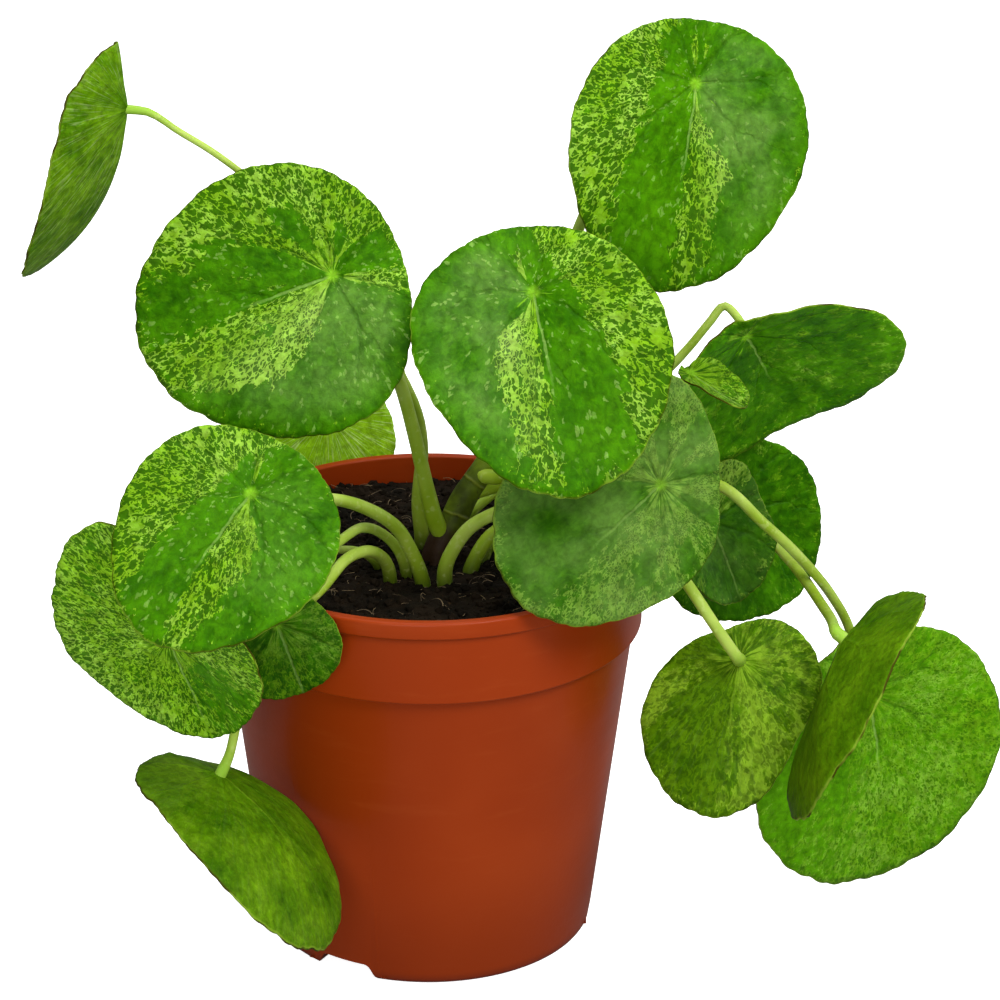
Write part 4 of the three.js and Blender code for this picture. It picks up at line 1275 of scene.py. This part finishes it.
def make_soil_finish():
    material, board = new_material("peat soil")
    cloud = board.noise(board.place(), 80.0, 4.0, 0.6)
    fine = board.noise(board.place(), 700.0, 4.0, 0.65)
    colour = board.blend(cloud.step(0.35, 0.65), screen_colour(10, 8, 3), screen_colour(28, 20, 10)).coated(
        (fine.step(0.62, 0.74), screen_colour(58, 42, 22)))
    set_finish(board, {"Base Color": colour, "Roughness": fine * 0.2 + 0.75, "Specular IOR Level": 0.08},
               fine, strength=0.8, depth=0.8 * MM)
    return material


def make_fibre_finish():
    material, board = new_material("root fibre")
    cloud = board.noise(board.place(), 150.0)
    colour = board.blend(cloud.step(0.35, 0.65), screen_colour(70, 56, 34), screen_colour(150, 128, 92))
    set_finish(board, {"Base Color": colour, "Roughness": cloud * 0.2 + 0.6})
    return material


soil_finish, fibre_finish = make_soil_finish(), make_fibre_finish()
soil_skin = make_soil_skin()
soil_skin.data.materials.append(soil_finish)
print("soil skin points:", len(soil_skin.data.vertices))

# %% [markdown]
# Crumbs and fibres lie on the soil in the same way: random spots, a random turn and a random size. So one
# helper ends both trees, and each tree only makes its own small piece. Most crumbs are small, because a
# random share that is raised to a power is mostly small.

# %% Geometry Nodes: crumbs and fibres
FULL_TURN = 6.28
CRUMB_DENSITY = 210000.0
CRUMB_SIZES = (0.35, 1.9)
CRUMB_POWER = 3.0
CRUMB_ROUGHNESS = 1.4
CRUMB_NOISE_LEVEL = 0.42
FIBRE_DENSITY = 36000.0
FIBRE_LENGTH = 6
FIBRE_SHORTEST = 0.3
FIBRE_LEAN = 0.5
THREAD_RADIUS = 0.014


def draw(board, given, kind, least, most, output):
    """A random number or direction for each spot."""
    inputs = {"Min": least, "Max": most, "Seed": given["Seed"]}
    return board.value("FunctionNodeRandomValue", inputs, output, data_type=kind)


def close_scatter(board, given, piece, size, least_turn, most_turn):
    """Ends a tree: copies of a piece on random spots of a surface, each with its own size and turn."""
    spots = board.value("GeometryNodeDistributePointsOnFaces", {
        "Mesh": given["Geometry"], "Density": given["Density"], "Seed": given["Seed"]})
    turn = draw(board, given, "FLOAT_VECTOR", least_turn, most_turn, 0)
    copies = board.value("GeometryNodeInstanceOnPoints", {
        "Points": spots, "Instance": piece, "Rotation": turn, "Scale": size})
    return close_coated(board, given, copies)


def build_crumb_tree():
    board, given = open_tree("crumbs on a surface", "GeometryNodeTree", {
        "Geometry": "Geometry", "Density": "Float", "Smallest": "Float", "Largest": "Float", "Seed": "Int",
        "Material": "Material"})
    grain = board.value("GeometryNodeMeshIcoSphere", {"Radius": 1.0, "Subdivisions": 1})
    place = board.value("GeometryNodeInputPosition")
    push = place * ((board.noise(place, 1.4) - CRUMB_NOISE_LEVEL) * CRUMB_ROUGHNESS)
    lump = board.value("GeometryNodeSetPosition", {"Geometry": grain, "Offset": push})
    share = board.math("POWER", draw(board, given, "FLOAT", 0.0, 1.0, 1), CRUMB_POWER)
    size = board.blend_values(share, given["Smallest"], given["Largest"])
    return close_scatter(board, given, lump, size, (0, 0, 0), (FULL_TURN, FULL_TURN, FULL_TURN))


def build_fibre_tree():
    board, given = open_tree("fibres on a surface", "GeometryNodeTree", {
        "Geometry": "Geometry", "Density": "Float", "Length": "Float", "Seed": "Int", "Material": "Material"})
    arc = board.value("GeometryNodeCurveQuadraticBezier", {
        "Resolution": 7, "Start": (-0.5, 0, 0), "Middle": (0.0, 0.35, 0.3), "End": (0.5, 0, 0)})
    ring = board.value("GeometryNodeCurvePrimitiveCircle", {"Resolution": 4, "Radius": THREAD_RADIUS})
    thread = board.value("GeometryNodeCurveToMesh", {"Curve": arc, "Profile Curve": ring, "Fill Caps": True})
    size = draw(board, given, "FLOAT", FIBRE_SHORTEST, 1.0, 1) * given["Length"]
    return close_scatter(board, given, thread, size, (-FIBRE_LEAN, -FIBRE_LEAN, 0),
                         (FIBRE_LEAN, FIBRE_LEAN, FULL_TURN))


def top_of_soil():
    """A copy of the soil's skin without its side and underside, for scattering on."""
    count = len(soil_skin.data.vertices) - SOIL_SPOKES - 1
    points = [vertex.co for vertex in soil_skin.data.vertices[:count]]
    faces = [tuple(face.vertices) for face in soil_skin.data.polygons if max(face.vertices) < count]
    return add_mesh("scatter", points, faces, scale=1)


crumbs = grow("soil_crumbs", top_of_soil(), build_crumb_tree(), {
    "Density": CRUMB_DENSITY, "Smallest": CRUMB_SIZES[0] * MM, "Largest": CRUMB_SIZES[1] * MM, "Seed": 4,
    "Material": soil_finish})
fibres = grow("root_fibres", top_of_soil(), build_fibre_tree(), {
    "Density": FIBRE_DENSITY, "Length": FIBRE_LENGTH * MM, "Seed": 9, "Material": fibre_finish})
print("crumb faces:", len(crumbs.data.polygons), "- fibre faces:", len(fibres.data.polygons))

# %% [markdown]
# ## Floor and light
# The photograph is a studio picture on white. A wide pale floor runs out of sight, a white surround fills
# the shadows, and large soft lamps give the leaves a faint gloss over their painted sheen, and the pot its
# bright edge.

# %% Floor and lamps
FLOOR_REACH = 6.0
FLOOR_GLOW = 0.85
FLOOR_SEEN = 0.93
FLOOR_BOUNCE = 0.3
SURROUND_LIGHT = 0.32
BLACK = (0, 0, 0, 1)
WHITE = (1, 1, 1, 1)
LAMPS = {
    "key_softbox": dict(place=(0.5, -0.78, 1.15), aim=(0.0, 0.0, 0.1), size=(0.6, 0.6), power=15.5),
    "fill_softbox": dict(place=(-0.15, -1.0, 0.4), aim=(0.0, 0.0, 0.14), size=(0.4, 0.4), power=4),
    "top_softbox": dict(place=(-0.1, 0.25, 1.3), aim=(0.0, 0.0, 0.1), size=(1.0, 1.0), power=9),
    "edge_strip": dict(place=(0.9, 0.25, 0.35), aim=(0.05, 0.0, 0.08), size=(0.25, 0.9), power=3),
}


def make_floor():
    """White paper. It glows faintly where the camera sees it, and throws less light up than white would."""
    corners = [(x * FLOOR_REACH, y * FLOOR_REACH, 0) for x, y in ((-1, -1), (1, -1), (1, 1), (-1, 1))]
    floor = add_mesh("studio_floor", corners, [(0, 1, 2, 3)], scale=1)
    material, board = new_material("white paper")
    seen = board.value("ShaderNodeLightPath", output="Is Camera Ray")
    level = board.noise(board.place(), 300.0) * 0.02 + board.blend_values(seen, FLOOR_BOUNCE, FLOOR_SEEN)
    set_finish(board, {"Base Color": board.join(level, level, level, "Color"), "Roughness": 0.9,
                       "Emission Color": board.blend(seen, BLACK, WHITE), "Emission Strength": FLOOR_GLOW})
    floor.data.materials.append(material)


def make_lamp(name, place, aim, size, power):
    lamp = bpy.data.lights.new(name, "AREA")
    lamp.shape = "RECTANGLE"
    lamp.size, lamp.size_y = size
    lamp.energy = power
    turn = (Vector(aim) - Vector(place)).to_track_quat("-Z", "Y").to_matrix().to_4x4()
    add_object(name, lamp).matrix_world = Matrix.Translation(place) @ turn


def make_surround():
    surround = bpy.data.worlds.new("white surround")
    surround.use_nodes = True
    board = Board(surround.node_tree)
    seen = board.value("ShaderNodeLightPath", output="Is Camera Ray")
    background = surround.node_tree.nodes["Background"]
    board.give(background.inputs["Color"], WHITE)
    board.give(background.inputs["Strength"], board.blend_values(seen, SURROUND_LIGHT, 1.0))
    bpy.context.scene.world = surround


make_floor()
for name, lamp in LAMPS.items():
    make_lamp(name, **lamp)
make_surround()

# %% [markdown]
# ## Hand over
# Each fine piece stands for its measured solid and moves with the plant's one body. The measured soil block
# stays under the fine skin, with the same peat finish.

# %% Join the fine pieces to the measured model
dressed = []
for name in LEAVES:
    dressed += [(blades[name], "leaf_" + name, "leaf"), (stalks[name], "stalk_" + name, "stalk")]
dressed += [(stem, "main_stem", "stem"), (pot, "pot", "pot")]
for piece, node, slot in dressed:
    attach(piece, "root")
    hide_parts(node)
for piece in (soil_skin, crumbs, fibres):
    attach(piece, "root")
soil_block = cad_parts["soil"]
soil_block.data.materials.clear()
soil_block.data.materials.append(soil_finish)
